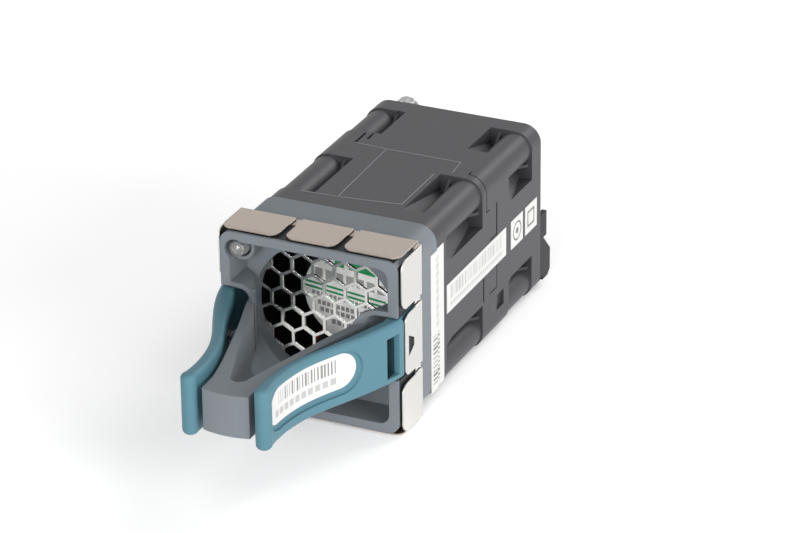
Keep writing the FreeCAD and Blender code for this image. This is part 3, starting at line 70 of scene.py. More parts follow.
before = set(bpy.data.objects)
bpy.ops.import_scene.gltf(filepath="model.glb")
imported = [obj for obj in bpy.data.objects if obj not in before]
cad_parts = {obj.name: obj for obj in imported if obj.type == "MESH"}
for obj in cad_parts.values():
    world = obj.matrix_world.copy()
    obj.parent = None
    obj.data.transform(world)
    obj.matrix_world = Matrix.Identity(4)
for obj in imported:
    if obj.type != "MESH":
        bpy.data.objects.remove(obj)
FRAME_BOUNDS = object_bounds()
MM = 0.001
# By how much the raised lines sink into the fan, and the floor lies under the module.
CONTACT = 0.00002


# ---------------------------------------------------------------- properties
def length(name, description, default):
    """A length that the user can change, in metres."""
    return bpy.props.FloatProperty(name=name, description=description, default=default,
                                   unit="LENGTH", subtype="DISTANCE")


def colour(name, *default):
    """A linear colour that the user can change."""
    return bpy.props.FloatVectorProperty(name=name, description="Linear colour", size=3,
                                         subtype="COLOR", min=0.0, max=1.0, default=default)


class FinishSettings(bpy.types.PropertyGroup):
    """How worn, rough and rounded the moulded and sheet pieces look."""

    edge_radius: length("Edge radius", "Rounding that the shader gives to sharp edges", 0.00022)
    grain_size: length("Grain size", "Pitch of the moulding's spark-eroded grain", 0.00028)
    grain_height: length("Grain height", "Height of the moulding's grain", 0.000010)
    line_width: length("Line width", "Width of the raised lines on the fan's top", 0.00030)
    line_height: length("Line height", "Height of those lines", 0.00007)
    bar_pitch: length("Bar pitch", "Distance from bar to bar on the stickers", 0.00082)


class ColourSettings(bpy.types.PropertyGroup):
    """Colours of the finishes."""

    bezel: colour("Bezel", 0.152, 0.170, 0.186)
    lever: colour("Levers", 0.075, 0.170, 0.211)
    # The gaskets are one plating. The colour above and below is a darker, warmer copy as
    # painted shade and painted reflection. The colour at the sides is a paler copy as painted
    # light.
    nickel_painted_shade: colour("Gaskets above and below", 0.405, 0.354, 0.312)
    nickel_painted_light: colour("Gaskets at the sides", 0.66, 0.65, 0.62)
    grille: colour("Grille", 0.80, 0.79, 0.77)
    fan: colour("Fan frames", 0.041, 0.039, 0.043)
    # This paler grey on the raised lines is a painted highlight along their edges.
    line: colour("Raised lines", 0.20, 0.20, 0.21)
    impeller: colour("Impellers", 0.012, 0.012, 0.013)
    bracket: colour("Bracket and connector", 0.022, 0.022, 0.024)
    paper: colour("Sticker paper", 0.56, 0.56, 0.55)
    ink: colour("Sticker ink", 0.020, 0.020, 0.022)
    foil: colour("Hub sticker", 0.97, 0.97, 0.95)
    green: colour("Hub sticker's bands", 0.02, 0.33, 0.11)
    red_lead: colour("Red lead", 0.52, 0.012, 0.012)
    black_lead: colour("Black lead", 0.012, 0.012, 0.012)
    inlet_lead: colour("Rear fan's lead", 0.66, 0.44, 0.02)


class CameraSettings(bpy.types.PropertyGroup):
    """Where the camera stands."""

    azimuth: bpy.props.FloatProperty(
        name="Azimuth", description="Angle round the module from its front towards its right",
        default=math.radians(25.06), subtype="ANGLE")
    elevation: bpy.props.FloatProperty(
        name="Elevation", description="Angle above the horizon",
        default=math.radians(25.88), subtype="ANGLE")
    roll: bpy.props.FloatProperty(
        name="Roll", description="Tilt of the camera about its own view line",
        default=math.radians(-0.67), subtype="ANGLE")
    distance: length("Distance", "From the camera to the point it looks at", 0.8215)
    lens: bpy.props.FloatProperty(
        name="Lens", description="Focal length on a 36 mm wide sensor", default=171.0)


class StudioSettings(bpy.types.PropertyGroup):
    """Strength of the lights."""

    key: bpy.props.FloatProperty(
        name="Key light", description="Power of the large light on the right",
        default=7.0, unit="POWER")
    fill: bpy.props.FloatProperty(
        name="Front light", description="Power of the light before the handle", default=6.8,
        unit="POWER")
    top: bpy.props.FloatProperty(
        name="Top light", description="Power of the light above and behind", default=2.64,
        unit="POWER")
    level: bpy.props.FloatProperty(
        name="Room level", description="Plain light from all round", default=0.46)
    table: bpy.props.FloatProperty(
        name="Table light", description="Light that the pale table gives off", default=0.21)


# ------------------------------------------------------------------- shading
# Colour sockets of a Mix node, which share their names with its number sockets.
MIX_FIRST, MIX_SECOND, MIX_RESULT = 6, 7, 2
# Sockets of a Mix Shader node.
SHADER_FACTOR, SHADER_FIRST, SHADER_SECOND = 0, 1, 2
# Share of its colour that moulded plastic keeps where shade is painted into it.
PAINTED_SHADE_SHARE = 0.04
# Pitch of the cloudy patches in moulded plastic.
CLOUD_PITCH = 0.009
# Pitch and height of the lines in rolled metal.
ROLLING_PITCH, ROLLING_HEIGHT = 0.0012, 0.000004


def link(tree, value, slot):
    """Feed a socket from a field or another socket, or set its value."""
    if isinstance(value, Field):
        value = value.socket
    if isinstance(value, bpy.types.NodeSocket):
        tree.links.new(value, slot)
    elif slot.type == "RGBA" and len(value) == 3:
        slot.default_value = (*value, 1.0)
    else:
        slot.default_value = value


def add_node(tree, kind, settings=(), inputs=()):
    """Make a shader node: first its settings, then its sockets' values or links."""
    made = tree.nodes.new(kind)
    for name, value in dict(settings).items():
        setattr(made, name, value)
    for name, value in dict(inputs).items():
        link(tree, value, made.inputs[name])
    return made


class Field:
    """A shader value that sums, products and comparisons can be written with."""

    def __init__(self, tree, socket):
        self.tree = tree
        self.socket = socket

    def call(self, operation, *others):
        """A maths node, by its name."""
        inputs = enumerate((self, *others))
        made = add_node(self.tree, "ShaderNodeMath", {"operation": operation}, inputs)
        return Field(self.tree, made.outputs[0])

    def __add__(self, other):
        return self.call("ADD", other)

    __radd__ = __add__

    def __sub__(self, other):
        return self.call("SUBTRACT", other)

    def __rsub__(self, other):
        return self.call("MULTIPLY_ADD", -1.0, other)

    def __mul__(self, other):
        return self.call("MULTIPLY", other)

    __rmul__ = __mul__

    def __truediv__(self, other):
        return self.call("DIVIDE", other)

    def __gt__(self, other):
        return self.call("GREATER_THAN", other)

    def __lt__(self, other):
        return self.call("LESS_THAN", other)

    def __or__(self, other):
        return self.call("MAXIMUM", other)

    def __abs__(self):
        return self.call("ABSOLUTE")


def between(value, low, high):
    """1 where low < value < high."""
    return (value > low) * (value < high)


def radius(first, second):
    """Distance of a point from the origin of two coordinates."""
    return (first * first + second * second).call("SQRT")


class Surface:
    """One Principled material and the fields that its looks are written with."""

    def __init__(self, name, color, roughness, metallic=0.0, others=()):
        self.material = bpy.data.materials.new(name)
        self.material.use_nodes = True
        self.tree = self.material.node_tree
        self.shader = self.tree.nodes["Principled BSDF"]
        self.set("Base Color", color)
        self.set("Roughness", roughness)
        self.set("Metallic", metallic)
        for socket, value in dict(others).items():
            self.set(socket, value)

    def set(self, name, value):
        """Give one of the shader's sockets a value or a field."""
        link(self.tree, value, self.shader.inputs[name])

    def add(self, kind, settings, inputs, output=0):
        """A node of the material, as the field of one of its outputs."""
        made = add_node(self.tree, kind, settings, inputs)
        return Field(self.tree, made.outputs[output])

    def point(self):
        """The point's own coordinates in metres."""
        return self.add("ShaderNodeTexCoord", (), (), "Object")

    def place(self):
        """Fields of the point's X, Y and Z in metres."""
        split = add_node(self.tree, "ShaderNodeSeparateXYZ", (), {0: self.point()})
        return tuple(Field(self.tree, output) for output in split.outputs)

    def noise(self, pitch, detail=2.0, stretch=(1.0, 1.0, 1.0)):
        """Smooth noise field with one blob about every pitch metres."""
        scale = tuple(share / pitch for share in stretch)
        scaled = self.add("ShaderNodeMapping", (), {"Vector": self.point(), "Scale": scale})
        return self.add("ShaderNodeTexNoise", (),
                        {"Vector": scaled, "Scale": 1.0, "Detail": detail}, "Fac")

    def random_step(self, value, width, seed=0.0):
        """A random level for each step of the given width."""
        step = (value / width).call("FLOOR") + seed
        return self.add("ShaderNodeTexWhiteNoise", {"noise_dimensions": "1D"}, {"W": step},
                        "Value")

    def blend(self, factor, first, second):
        """Colour field between two colours or colour fields."""
        return self.add("ShaderNodeMix", {"data_type": "RGBA"},
                        {"Factor": factor, MIX_FIRST: first, MIX_SECOND: second},
                        MIX_RESULT)

    def vary_roughness(self, field, mean, spread):
        """Roughness that follows a field, evenly about a mean."""
        self.set("Roughness", field * spread + (mean - spread / 2))

    def relief(self, height, distance, edge_radius=0.0):
        """Bump from a height field, over edges rounded by the shader."""
        inputs = {"Height": height, "Distance": distance, "Strength": 1.0}
        if edge_radius:
            inputs["Normal"] = self.add("ShaderNodeBevel", {"samples": 4},
                                        {"Radius": edge_radius})
        self.set("Normal", self.add("ShaderNodeBump", (), inputs))


def moulded(name, color, roughness, grain=1.0, tint=0.08, painted_shade_at=None, sheen=0.14):
    """Injection-moulded plastic: fine grain, cloudy gloss, softened edges and painted shade
    where a given field says.
    """
    finish = bpy.context.scene.fan_finish
    made = Surface(name, color, roughness, others={"IOR": 1.5, "Specular IOR Level": sheen})
    cloud = made.noise(CLOUD_PITCH, detail=4.0)
    fine = made.noise(finish.grain_size, detail=1.0)
    deeper, paler = (tuple(c * share for c in color) for share in (1 - tint, 1 + tint))
    base = made.blend(cloud, deeper, paler)
    # Painted shade: the colour is darkened towards a small share of itself where the field
    # says.
    if painted_shade_at:
        base = made.blend(painted_shade_at(made), base, tuple(c * PAINTED_SHADE_SHARE for c in color))
    made.set("Base Color", base)
    made.vary_roughness(cloud, roughness, spread=0.10)
    made.relief(fine, finish.grain_height * grain, finish.edge_radius)
    return made


def plated(name, color, roughness, brushed=(1.0, 1.0, 1.0)):
    """Bright metal with faint rolling or brushing lines and thin sheet edges."""
    finish = bpy.context.scene.fan_finish
    made = Surface(name, color, roughness, metallic=1.0)
    lines = made.noise(ROLLING_PITCH, detail=3.0, stretch=brushed)
    made.vary_roughness(lines, roughness, spread=0.16)
    made.relief(lines, ROLLING_HEIGHT, finish.edge_radius / 2)
    return made


def dress(surface, *nodes):
    """Give CAD nodes a finish."""
    for name in nodes:
        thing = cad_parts[name]
        thing.data.materials.clear()
        thing.data.materials.append(surface.material)


def pair(name):
    """A motor piece's node names in both fans."""
    return f"outlet_{name}", f"inlet_{name}"


def node_box(name):
    """Lowest corner and size of a node."""
    low, high = (Vector(corner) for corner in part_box(name))
    return low, high - low


def node_middle(name):
    """Middle of a node's box."""
    low, size = node_box(name)
    return low + size / 2


# --------------------------------------------------------------- painted shade
def bezel_painted_shade(surface):
    """Painted shade in the duct behind the grille and on the sunk skin that the gaskets lie on.
    """
    x, y, z = surface.place()
    grille, grille_size = node_middle("honeycomb_grille"), node_box("honeycomb_grille")[1]
    throat = grille_size.x * 0.54
    duct = (y > grille.y) * (radius(x, z - grille.z) < throat)
    strip, strip_size = node_box("gasket_top")
    margin = 0.0003
    half_width = strip_size.x / 2 - margin
    half_height = node_box("gasket_right")[1].z / 2 - margin
    skin = (abs(x) > half_width) | (abs(z - node_middle("gasket_right").z) > half_height)
    return duct | skin * between(y, strip.y - 0.0001, strip.y + strip_size.y) * 0.9


def fan_painted_shade(surface):
    """Painted shade in the air duct through both fans."""
    x, _, z = surface.place()
    duct = node_box("outlet_frame")[1].x * 0.484
    return (radius(x, z - node_middle("outlet_impeller").z) < duct) * 0.8


def lever_painted_shade(surface):
    """Painted shade on the catch in the side gasket's window, and in the deep slot in the
    lever's outer face.
    """
    x, y, z = surface.place()
    height = z - node_middle("gasket_right").z
    pin = node_middle("latch_pin_right").x
    front = node_box("gasket_right")[0].y
    catch_start, catch_half, catch_front = pin + 0.0011, 0.0024, front + 0.0015
    catch = (abs(x) > catch_start) * (abs(height) < catch_half) * (y > catch_front)
    slot_floor, slot_mouth = pin - 0.0015, pin + 0.0006
    slot_low, slot_high = -0.0053, 0.0041
    slot_front, slot_rear = front - 0.0045, front - 0.0008
    slot = between(abs(x), slot_floor, slot_mouth) * between(height, slot_low, slot_high)
    return catch | slot * between(y, slot_front, slot_rear) * 0.7


# ------------------------------------------------------------------ stickers
# The hub sticker's green bands, from and to a height over its middle.
HUB_BANDS = ((0.0007, 0.0012), (-0.0004, 0.0001))
# Its rows of marks: height, tallness, pitch and half width.
HUB_ROWS = ((-0.0013, 0.0009, 0.0010, 0.0088), (-0.0033, 0.0010, 0.0011, 0.0076),
            (-0.0048, 0.0010, 0.0012, 0.0070), (-0.0070, 0.0011, 0.0013, 0.0044))


def shares(low, size, start, end):
    """Places at two shares of a sticker's length or height."""
    return low + start * size, low + end * size


def bars(surface, along, start, end, seed, stretch=1.0):
    """Bars of random widths at an even pitch between two places."""
    pitch = bpy.context.scene.fan_finish.bar_pitch * stretch
    level = surface.random_step(along, pitch, seed)
    phase = (along / pitch).call("FRACT")
    return (phase < level * 0.5 + 0.16) * between(along, start, end)


def blocks(along, across, start, end, middle, tall, pitch):
    """Row of plain blocks in place of writing."""
    phase = ((along - start) / pitch).call("FRACT")
    return (abs(phase - 0.5) < 0.36) * (abs(across - middle) < tall / 2) * between(
        along, start, end)


def sticker(name, ink_at, strength=1.0):
    """Film sticker with ink where the given function says."""
    colours = bpy.context.scene.fan_colours
    made = Surface(name, colours.paper, 0.38,
                   others={"Coat Weight": 0.25, "Coat Roughness": 0.3})
    made.set("Base Color", made.blend(ink_at(made) * strength, colours.paper, colours.ink))
    return made


def frame_print(surface):
    """Long bar strip with a row of marks under it, on the right side of the fan."""
    _, y, z = surface.place()
    low, size = node_box("frame_label")
    start, end = shares(low.y, size.y, 0.05, 0.93)
    strip = bars(surface, y, start, end, seed=3.0)
    strip = strip * between(z, *shares(low.z, size.z, 0.42, 0.88))
    row = blocks(y, z, start, end, low.z + 0.23 * size.z, tall=0.0010, pitch=0.0010)
    return strip | row * 0.6


def seam_print(surface):
    """Column of marks over a bar block, on the sticker over the seam."""
    _, y, z = surface.place()
    low, size = node_box("seam_label")
    middle = low.y + 0.5 * size.y
    start, end = shares(low.z, size.z, 0.44, 0.95)
    marks = blocks(z, y, start, end, middle, tall=0.0018, pitch=0.0019)
    start, end = shares(low.z, size.z, 0.05, 0.40)
    block = bars(surface, z, start, end, seed=31.0, stretch=1.25)
    return marks * 0.35 | block * between(y, middle - 0.0026, middle + 0.0013)


def lever_print(surface):
    """Bar strip over a row of larger marks, on the right lever."""
    _, y, z = surface.place()
    low, size = node_box("lever_label")
    strip = bars(surface, y, *shares(low.y, size.y, 0.16, 0.82), seed=41.0)
    strip = strip * between(z, *shares(low.z, size.z, 0.50, 0.88))
    start, end = shares(low.y, size.y, 0.09, 0.83)
    row = blocks(y, z, start, end, low.z + 0.28 * size.z, tall=0.0015, pitch=0.00187)
    return strip | row * 0.5


def ring_print(surface):
    """Ring with a dot on one small sticker and a square outline on the other."""
    _, y, z = surface.place()
    low, size = node_box("small_labels")
    half = size.z / 2
    z = z - (low.z + half)
    first, second = y - (low.y + half), y - (low.y + size.y - half)
    reach = radius(first, z)
    ring = between(reach, 0.55 * half, 0.68 * half) | (reach < 0.22 * half)
    outer = (abs(second) < 0.58 * half) * (abs(z) < 0.58 * half)
    inner = (abs(second) < 0.42 * half) * (abs(z) < 0.42 * half)
    return (ring | (outer > inner)) * 0.85


def hub_print():
    """Foil hub sticker with green bands, blocks and rows of small marks."""
    colours = bpy.context.scene.fan_colours
    made = Surface("hub_sticker", colours.foil, 0.30, metallic=0.6)
    x, _, z = made.place()
    tilt = z - node_middle("hub_label").z + x * 0.10
    green = between(tilt, 0.0062, 0.0086) * (made.random_step(x, 0.0011, seed=5.0) > 0.35)
    for start, end in HUB_BANDS:
        green = green | between(tilt, start, end)
    ink = blocks(x, tilt, -0.0082, 0.0086, 0.0036, tall=0.0022, pitch=0.0024) * 0.6
    for height, tall, pitch, half in HUB_ROWS:
        ink = ink | blocks(x, tilt, -half, half, height, tall, pitch) * 0.7
    base = made.blend(green, colours.foil, colours.green)
    made.set("Base Color", made.blend(ink, base, colours.ink))
    return made


# Raised lines on the front fan's top, as X and Y in millimetres.
LINE_PATHS = (((-13.5, 30.2), (-5.7, 29.8), (-4.8, 3.6), (-13.3, 3.2)),
              ((-5.7, 29.8), (11.8, 29.7), (12.3, 24.3)),
              ((-4.8, 3.6), (9.1, 5.4), (9.0, 21.8)))

# The lips of the levers' tunnels, in millimetres: how far before the fans the bezel's rim
# is, how far a tunnel leans in for each millimetre forward, the lip's outer end, and how
# deep the lip is sunk behind the rim.
RIM = 20.9
TUNNEL_SLANT = 3.7 / 7.9
LIP_END = 18.3
LIP_SUNK = 0.4
# Nearest place to the middle, half height and corner radius of the lip's two outlines.
LIP_OUTSIDE = (12.33, 8.27, 3.0)
LIP_INSIDE = (13.62, 7.23, 1.9)
# How far the lip stands before the rim, at growing distances from the middle.
LIP_FRONT = ((11.2, 2.5), (12.0, 1.5), (12.8, 0.9), (13.5, 0.62), (15.5, 0.3), (18.3, -0.05))
ARC_STEPS = 8


def add_piece(name, mesh, body):
    """Object of a mesh, which rides on a body."""
    thing = bpy.data.objects.new(name, mesh)
    bpy.context.scene.collection.objects.link(thing)
    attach(thing, body)
    return thing


def loft(name, rings, surface, body):
    """Closed solid through sections of four corners, which rides on a body."""
    points = [corner for ring in rings for corner in ring]
    last = len(points) - 4
    faces = [(0, 1, 2, 3), (last + 3, last + 2, last + 1, last)]
    for first in range(0, last, 4):
        for corner in range(4):
            beside = (corner + 1) % 4
            faces.append((first + corner, first + beside,
                          first + 4 + beside, first + 4 + corner))
    mesh = bpy.data.meshes.new(name)
    mesh.from_pydata(points, [], faces)
    work = bmesh.new()
    work.from_mesh(mesh)
    bmesh.ops.recalc_face_normals(work, faces=work.faces)
    work.to_mesh(mesh)
    work.free()
    mesh.materials.append(surface.material)
    return add_piece(name, mesh, body)


def latch_coil(side):
    """A latch's spring as a piece of its own that rides on the module, with the CAD node
    hidden.
    """
    node = f"latch_spring_{side}"
    coil = add_piece(f"latch_coil_{side}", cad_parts[node].data.copy(), "module")
    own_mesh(coil)
    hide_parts(node)


def raised_line(name, path, ground, surface):
    """Thin raised line on the fan's top along a path of X and Y in millimetres."""
    finish = bpy.context.scene.fan_finish
    path = [Vector(point) * MM for point in path]
    steps = [(after - before).normalized() for before, after in zip(path, path[1:])]
    low, high = ground - CONTACT, ground + finish.line_height
    rings = []
    for index, point in enumerate(path):
        before, after = steps[max(index - 1, 0)], steps[min(index, len(steps) - 1)]
        mitre = (before + after).normalized()
        side = Vector((-mitre.y, mitre.x)) * finish.line_width / 2 / mitre.dot(after)
        left, right = point + side, point - side
        rings.append([(left.x, left.y, low), (right.x, right.y, low),
                      (right.x, right.y, high), (left.x, left.y, high)])
    loft(name, rings, surface, "module")


def lip_limit(across):
    """How far the lip may stand before the rim at a distance from the middle."""
    limit = LIP_FRONT[0][1]
    for (near, tall), (far, less) in zip(LIP_FRONT, LIP_FRONT[1:]):
        if across > near:
            limit = tall + (less - tall) * min((across - near) / (far - near), 1.0)
    return limit


def lip_reach(start):
    """How far a point of the rim goes forward along the tunnel's slant to the lip's edge."""
    low, high, precision = -0.1, 3.0, 0.001
    while high - low > precision:
        reach = (low + high) / 2
        if reach < lip_limit(start - TUNNEL_SLANT * reach):
            low = reach
        else:
            high = reach
    return low


def tunnel_outline(near, half, corner):
    """A tunnel's section at the rim, from its top to its bottom."""
    top = [(LIP_END, half)]
    for step in range(ARC_STEPS + 1):
        turn = math.radians(90 + 90 / ARC_STEPS * step)
        top.append((near + corner + corner * math.cos(turn),
                    half - corner + corner * math.sin(turn)))
    return top + [(x, -z) for x, z in reversed(top)]


def tunnel_lip(name, side, surface):
    """The lip by which a lever's tunnel stands before the rim and runs into the arm."""
    middle = node_middle("gasket_right").z
    rings = []
    for outside, inside in zip(tunnel_outline(*LIP_OUTSIDE), tunnel_outline(*LIP_INSIDE)):
        ring = []
        for x, z in (outside, inside):
            for reach in (-LIP_SUNK, lip_reach(x)):
                ring.append((side * (x - TUNNEL_SLANT * reach) * MM, -(RIM + reach) * MM,
                             middle + z * MM))
        outside_back, outside_front, inside_back, inside_front = ring
        rings.append([outside_back, outside_front, inside_front, inside_back])
    loft(name, rings, surface, "module")


# -------------------------------------------------------------------- studio
# Soft boxes: name, the setting with their power, width and place.
LIGHTS = (("key_light", "key", 0.55, (0.84, -0.26, 0.24)),
          ("front_light", "fill", 0.45, (0.10, -1.00, 0.30)),
          ("top_light", "top", 0.40, (0.30, 0.62, 0.60)))
LIGHTS_AIM = (0.0, 0.0, 0.02)
# The camera looks a little to the left of the joint between the two fans, and under it.
FAN_JOINT = (0.0, 0.0263, 0.020)
LOOKS_LEFT, LOOKS_UNDER = 0.00104, 0.00489


def add_floor(glow):
    """Pale table that runs out of the picture on all sides and gives off a little light."""
    reach = 6.0
    mesh = bpy.data.meshes.new("floor")
    corners = [(-reach, -reach, 0), (reach, -reach, 0), (reach, reach, 0), (-reach, reach, 0)]
    mesh.from_pydata(corners, [], [(0, 1, 2, 3)])
    floor = bpy.data.objects.new("floor", mesh)
    bpy.context.scene.collection.objects.link(floor)
    floor.location.z = min(0.0, FRAME_BOUNDS[0][2]) - CONTACT
    white = Surface("floor_white", (0.92, 0.92, 0.92), 0.9, others={
        "Specular IOR Level": 0.0, "Emission Color": (1.0, 1.0, 1.0),
        "Emission Strength": glow})
    mesh.materials.append(white.material)


def add_light(name, power, wide, place):
    """Square soft box aimed at the middle of the module's front."""
    lamp = bpy.data.lights.new(name, "AREA")
    lamp.energy = power
    lamp.size = wide
    holder = bpy.data.objects.new(name, lamp)
    bpy.context.scene.collection.objects.link(holder)
    holder.location = place
    view = Vector(LIGHTS_AIM) - Vector(place)
    holder.rotation_euler = view.to_track_quat("-Z", "Y").to_euler()


def add_room(scene, level):
    """Plain light all round, which the camera, gloss and clear plastic see as white."""
    world = bpy.data.worlds.new("room")
    world.use_nodes = True
    scene.world = world
    tree = world.node_tree
    plain = tree.nodes["Background"]
    link(tree, (1.0, 1.0, 1.0), plain.inputs["Color"])
    link(tree, level, plain.inputs["Strength"])
    white = add_node(tree, "ShaderNodeBackground", (), {"Color": (1.0, 1.0, 1.0)})
    path = add_node(tree, "ShaderNodeLightPath")
    seen = Field(tree, path.outputs["Is Camera Ray"])
    seen = seen | path.outputs["Is Glossy Ray"] | path.outputs["Is Transmission Ray"]
    mix = add_node(tree, "ShaderNodeMixShader", (),
                   {SHADER_FACTOR: seen, SHADER_FIRST: plain.outputs[0],
                    SHADER_SECOND: white.outputs[0]})
    link(tree, mix.outputs[0], tree.nodes["World Output"].inputs["Surface"])


def add_camera(scene):
    """Camera on a long lens, above the handle and to the right."""
    view = scene.fan_camera
    lens = bpy.data.cameras.new("camera")
    lens.sensor_width = 36.0
    lens.lens = view.lens
    lens.clip_start = 0.05
    lens.clip_end = 20.0
    holder = bpy.data.objects.new("camera", lens)
    scene.collection.objects.link(holder)
    back = Vector((math.sin(view.azimuth) * math.cos(view.elevation),
                   -math.cos(view.azimuth) * math.cos(view.elevation),
                   math.sin(view.elevation)))
    right = Vector((0, 0, 1)).cross(back).normalized()
    up = back.cross(right)
    turn = Matrix.Rotation(view.roll, 3, back)
    right, up = turn @ right, turn @ up
    target = Vector(FAN_JOINT) - (right * LOOKS_LEFT + up * LOOKS_UNDER)
    place = target + back * view.distance
    holder.matrix_world = Matrix((
        (right.x, up.x, back.x, place.x), (right.y, up.y, back.y, place.y),
        (right.z, up.z, back.z, place.z), (0, 0, 0, 1)))
    scene.camera = holder


# ----------------------------------------------------------------- operators
class FANMODULE_OT_bezel(bpy.types.Operator):
    """Finish the bezel with its handle, with painted shade in its duct and on the skin under
    the gaskets, and add the lips of the levers' tunnels
    """

    bl_idname = "fanmodule.bezel"
    bl_label = "Dress bezel"

    def execute(self, context):
        # The bezel gets painted shade in the duct behind the grille and on the skin that the
        # gaskets lie on.
        grey = moulded("bezel_grey", context.scene.fan_colours.bezel, 0.46,
                       painted_shade_at=bezel_painted_shade)
        dress(grey, "bezel")
        tunnel_lip("tunnel_lip_right", 1, grey)
        tunnel_lip("tunnel_lip_left", -1, grey)
        return {"FINISHED"}


class FANMODULE_OT_grille(bpy.types.Operator):
    """Finish the honeycomb grille"""

    bl_idname = "fanmodule.grille"
    bl_label = "Dress grille"

    def execute(self, context):
        dress(plated("grille_steel", context.scene.fan_colours.grille, 0.26),
              "honeycomb_grille")
        return {"FINISHED"}


class FANMODULE_OT_light_pipe(bpy.types.Operator):
    """Finish the clear light pipe"""

    bl_idname = "fanmodule.light_pipe"
    bl_label = "Dress light pipe"

    def execute(self, context):
        roughness = 0.10
        clear = Surface("pipe_clear", (0.96, 0.97, 0.96), roughness,
                        others={"Transmission Weight": 0.85, "IOR": 1.58})
        clear.vary_roughness(clear.noise(0.004), roughness, spread=0.12)
        dress(clear, "light_pipe")
        return {"FINISHED"}


class FANMODULE_OT_levers(bpy.types.Operator):
    """Finish the two latch levers, with painted shade on their catches and in their slots, and
    their hinge pins
    """

    bl_idname = "fanmodule.levers"
    bl_label = "Dress latch levers"

    def execute(self, context):
        # The levers get painted shade on the catch in the gasket's window and in the slot.
        teal = moulded("lever_teal", context.scene.fan_colours.lever, 0.40, grain=1.2,
                       painted_shade_at=lever_painted_shade)
        dress(teal, "latch_lever_left", "latch_lever_right")
        dress(plated("pin_steel", (0.72, 0.73, 0.74), 0.22), "latch_pin_left",
              "latch_pin_right")
        return {"FINISHED"}


class FANMODULE_OT_springs(bpy.types.Operator):
    """Finish the latch springs and give each a piece of its own that rides on the module"""

    bl_idname = "fanmodule.springs"
    bl_label = "Dress latch springs"

    def execute(self, context):
        dress(plated("spring_wire", (0.66, 0.66, 0.67), 0.30), "latch_spring_left",
              "latch_spring_right")
        latch_coil("left")
        latch_coil("right")
        return {"FINISHED"}


class FANMODULE_OT_gaskets(bpy.types.Operator):
    """Finish the spring contact fingers round the bezel, in one plating painted darker above
    and below and paler at the sides as painted shade and painted light
    """

    bl_idname = "fanmodule.gaskets"
    bl_label = "Dress gasket fingers"

    def execute(self, context):
        colours = context.scene.fan_colours
        rolled = (0.25, 1.0, 0.25)
        # One plating in two copies: painted shade and reflection on the top and bottom fingers,
        # and painted light on the side ones.
        dress(plated("gasket_nickel", colours.nickel_painted_shade, 0.36, brushed=rolled),
              "gasket_top", "gasket_bottom")
        dress(plated("gasket_nickel_side", colours.nickel_painted_light, 0.36, brushed=rolled),
              "gasket_left", "gasket_right")
        return {"FINISHED"}


class FANMODULE_OT_frames(bpy.types.Operator):
    """Finish both fan frames, with painted shade in their duct, and add the raised lines on the
    front one's top
    """

    bl_idname = "fanmodule.frames"
    bl_label = "Dress fan frames"

    def execute(self, context):
        colours = context.scene.fan_colours
        # The fan frames get painted shade inside the air duct.
        shell = moulded("fan_black", colours.fan, 0.42, grain=1.4, tint=0.16,
                        painted_shade_at=fan_painted_shade, sheen=0.3)
        dress(shell, "outlet_frame", "inlet_frame")
        # The raised lines get a paler grey than the frame as a painted highlight.
        lines = moulded("line_black", colours.line, 0.5)
        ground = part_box("outlet_frame")[1][2]
        for number, path in enumerate(LINE_PATHS, start=1):
            raised_line(f"raised_line_{number}", path, ground, lines)
        return {"FINISHED"}


class FANMODULE_OT_impellers(bpy.types.Operator):
    """Finish both impellers"""

    bl_idname = "fanmodule.impellers"
    bl_label = "Dress impellers"

    def execute(self, context):
        dress(moulded("impeller_black", context.scene.fan_colours.impeller, 0.34),
              *pair("impeller"))
        return {"FINISHED"}


class FANMODULE_OT_motors(bpy.types.Operator):
    """Finish the motors' pieces, and the long screws in the same bright steel"""

    bl_idname = "fanmodule.motors"
    bl_label = "Dress motors"

    def execute(self, context):
        dress(plated("motor_steel", (0.62, 0.62, 0.63), 0.25), *pair("rotor_cup"),
              *pair("shaft"), *pair("bearings"), *pair("shaft_clip"), "fan_screws")
        dress(moulded("ferrite", (0.03, 0.03, 0.032), 0.7), *pair("magnet_ring"))
        dress(plated("laminations", (0.20, 0.21, 0.24), 0.42, brushed=(0.1, 6.0, 0.1)),
              *pair("stator_core"))
        copper = Surface("enamelled_copper", (0.50, 0.17, 0.06), 0.28,
                         others={"Coat Weight": 0.6})
        copper.relief(copper.noise(0.0003, stretch=(0.2, 1.0, 1.0)), 0.00005)
        dress(copper, *pair("coils"))
        board, track = (0.012, 0.11, 0.045), (0.05, 0.24, 0.09)
        mask = Surface("solder_mask", board, 0.3, others={"Coat Weight": 0.4})
        tracks = (mask.noise(0.0011, detail=0.0) > 0.56) * 0.6
        mask.set("Base Color", mask.blend(tracks, board, track))
        dress(mask, *pair("circuit_board"))
        return {"FINISHED"}


class FANMODULE_OT_rear(bpy.types.Operator):
    """Finish the rear bracket and the connector"""

    bl_idname = "fanmodule.rear"
    bl_label = "Dress rear connector"

    def execute(self, context):
        dress(moulded("bracket_black", context.scene.fan_colours.bracket, 0.44),
              "connector_bracket", "connector_housing")
        dress(plated("contact_gold", (0.83, 0.62, 0.26), 0.2), "connector_contacts")
        return {"FINISHED"}


class FANMODULE_OT_leads(bpy.types.Operator):
    """Finish the three leads"""

    bl_idname = "fanmodule.leads"
    bl_label = "Dress leads"

    def execute(self, context):
        roughness = 0.38
        for name in ("red_lead", "black_lead", "inlet_lead"):
            sleeve = Surface(name + "_sleeve", getattr(context.scene.fan_colours, name),
                             roughness, others={"Coat Weight": 0.2})
            sleeve.vary_roughness(sleeve.noise(0.002), roughness, spread=0.2)
            dress(sleeve, name)
        return {"FINISHED"}


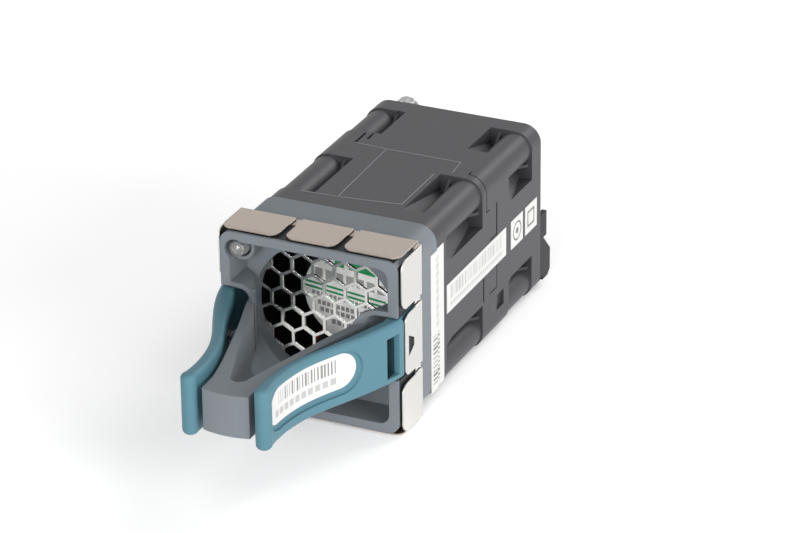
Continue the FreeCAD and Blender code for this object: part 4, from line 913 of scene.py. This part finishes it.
class FANMODULE_OT_stickers(bpy.types.Operator):
    """Print plain bars, blocks and rings on the stickers"""

    bl_idname = "fanmodule.stickers"
    bl_label = "Print stickers"

    def execute(self, context):
        dress(sticker("frame_sticker", frame_print, 0.5), "frame_label")
        dress(sticker("seam_sticker", seam_print, 0.85), "seam_label")
        dress(sticker("lever_sticker", lever_print, 0.75), "lever_label")
        dress(sticker("small_sticker", ring_print), "small_labels")
        dress(hub_print(), "hub_label")
        return {"FINISHED"}


class FANMODULE_OT_studio(bpy.types.Operator):
    """Set up the floor, the lights, the white room and the camera"""

    bl_idname = "fanmodule.studio"
    bl_label = "Set up studio"

    def execute(self, context):
        studio = context.scene.fan_studio
        add_floor(studio.table)
        for name, setting, wide, place in LIGHTS:
            add_light(name, getattr(studio, setting), wide, place)
        add_room(context.scene, studio.level)
        add_camera(context.scene)
        context.scene.view_settings.view_transform = "Standard"
        return {"FINISHED"}


class FANMODULE_PT_panel(bpy.types.Panel):
    """Buttons and values for the module's looks"""

    bl_idname = "FANMODULE_PT_panel"
    bl_label = "Fan module"
    bl_space_type = "VIEW_3D"
    bl_region_type = "UI"
    bl_category = "Fan module"

    def draw(self, context):
        for step in STEPS:
            self.layout.operator(step.bl_idname)
        for group in GROUPS:
            values = getattr(context.scene, group)
            for name in values.bl_rna.properties.keys():
                if name not in ("rna_type", "name"):
                    self.layout.prop(values, name)


STEPS = (FANMODULE_OT_bezel, FANMODULE_OT_grille, FANMODULE_OT_light_pipe,
         FANMODULE_OT_levers, FANMODULE_OT_springs, FANMODULE_OT_gaskets,
         FANMODULE_OT_frames, FANMODULE_OT_impellers, FANMODULE_OT_motors,
         FANMODULE_OT_rear, FANMODULE_OT_leads, FANMODULE_OT_stickers, FANMODULE_OT_studio)
GROUPS = {"fan_finish": FinishSettings, "fan_colours": ColourSettings,
          "fan_camera": CameraSettings, "fan_studio": StudioSettings}


def register():
    """Make the settings, the operators and the panel known."""
    for kind in (*GROUPS.values(), *STEPS, FANMODULE_PT_panel):
        bpy.utils.register_class(kind)
    for name, kind in GROUPS.items():
        setattr(bpy.types.Scene, name, bpy.props.PointerProperty(type=kind))


def unregister():
    """Take them all away again."""
    for name in GROUPS:
        delattr(bpy.types.Scene, name)
    for kind in (FANMODULE_PT_panel, *reversed(STEPS), *reversed(GROUPS.values())):
        bpy.utils.unregister_class(kind)


def main():
    """Register the add-on and run its steps in order."""
    register()
    for step in STEPS:
        group, _, name = step.bl_idname.partition(".")
        if getattr(getattr(bpy.ops, group), name)() != {"FINISHED"}:
            raise RuntimeError(step.bl_idname + " did not finish")


if __name__ == "__main__":
    main()
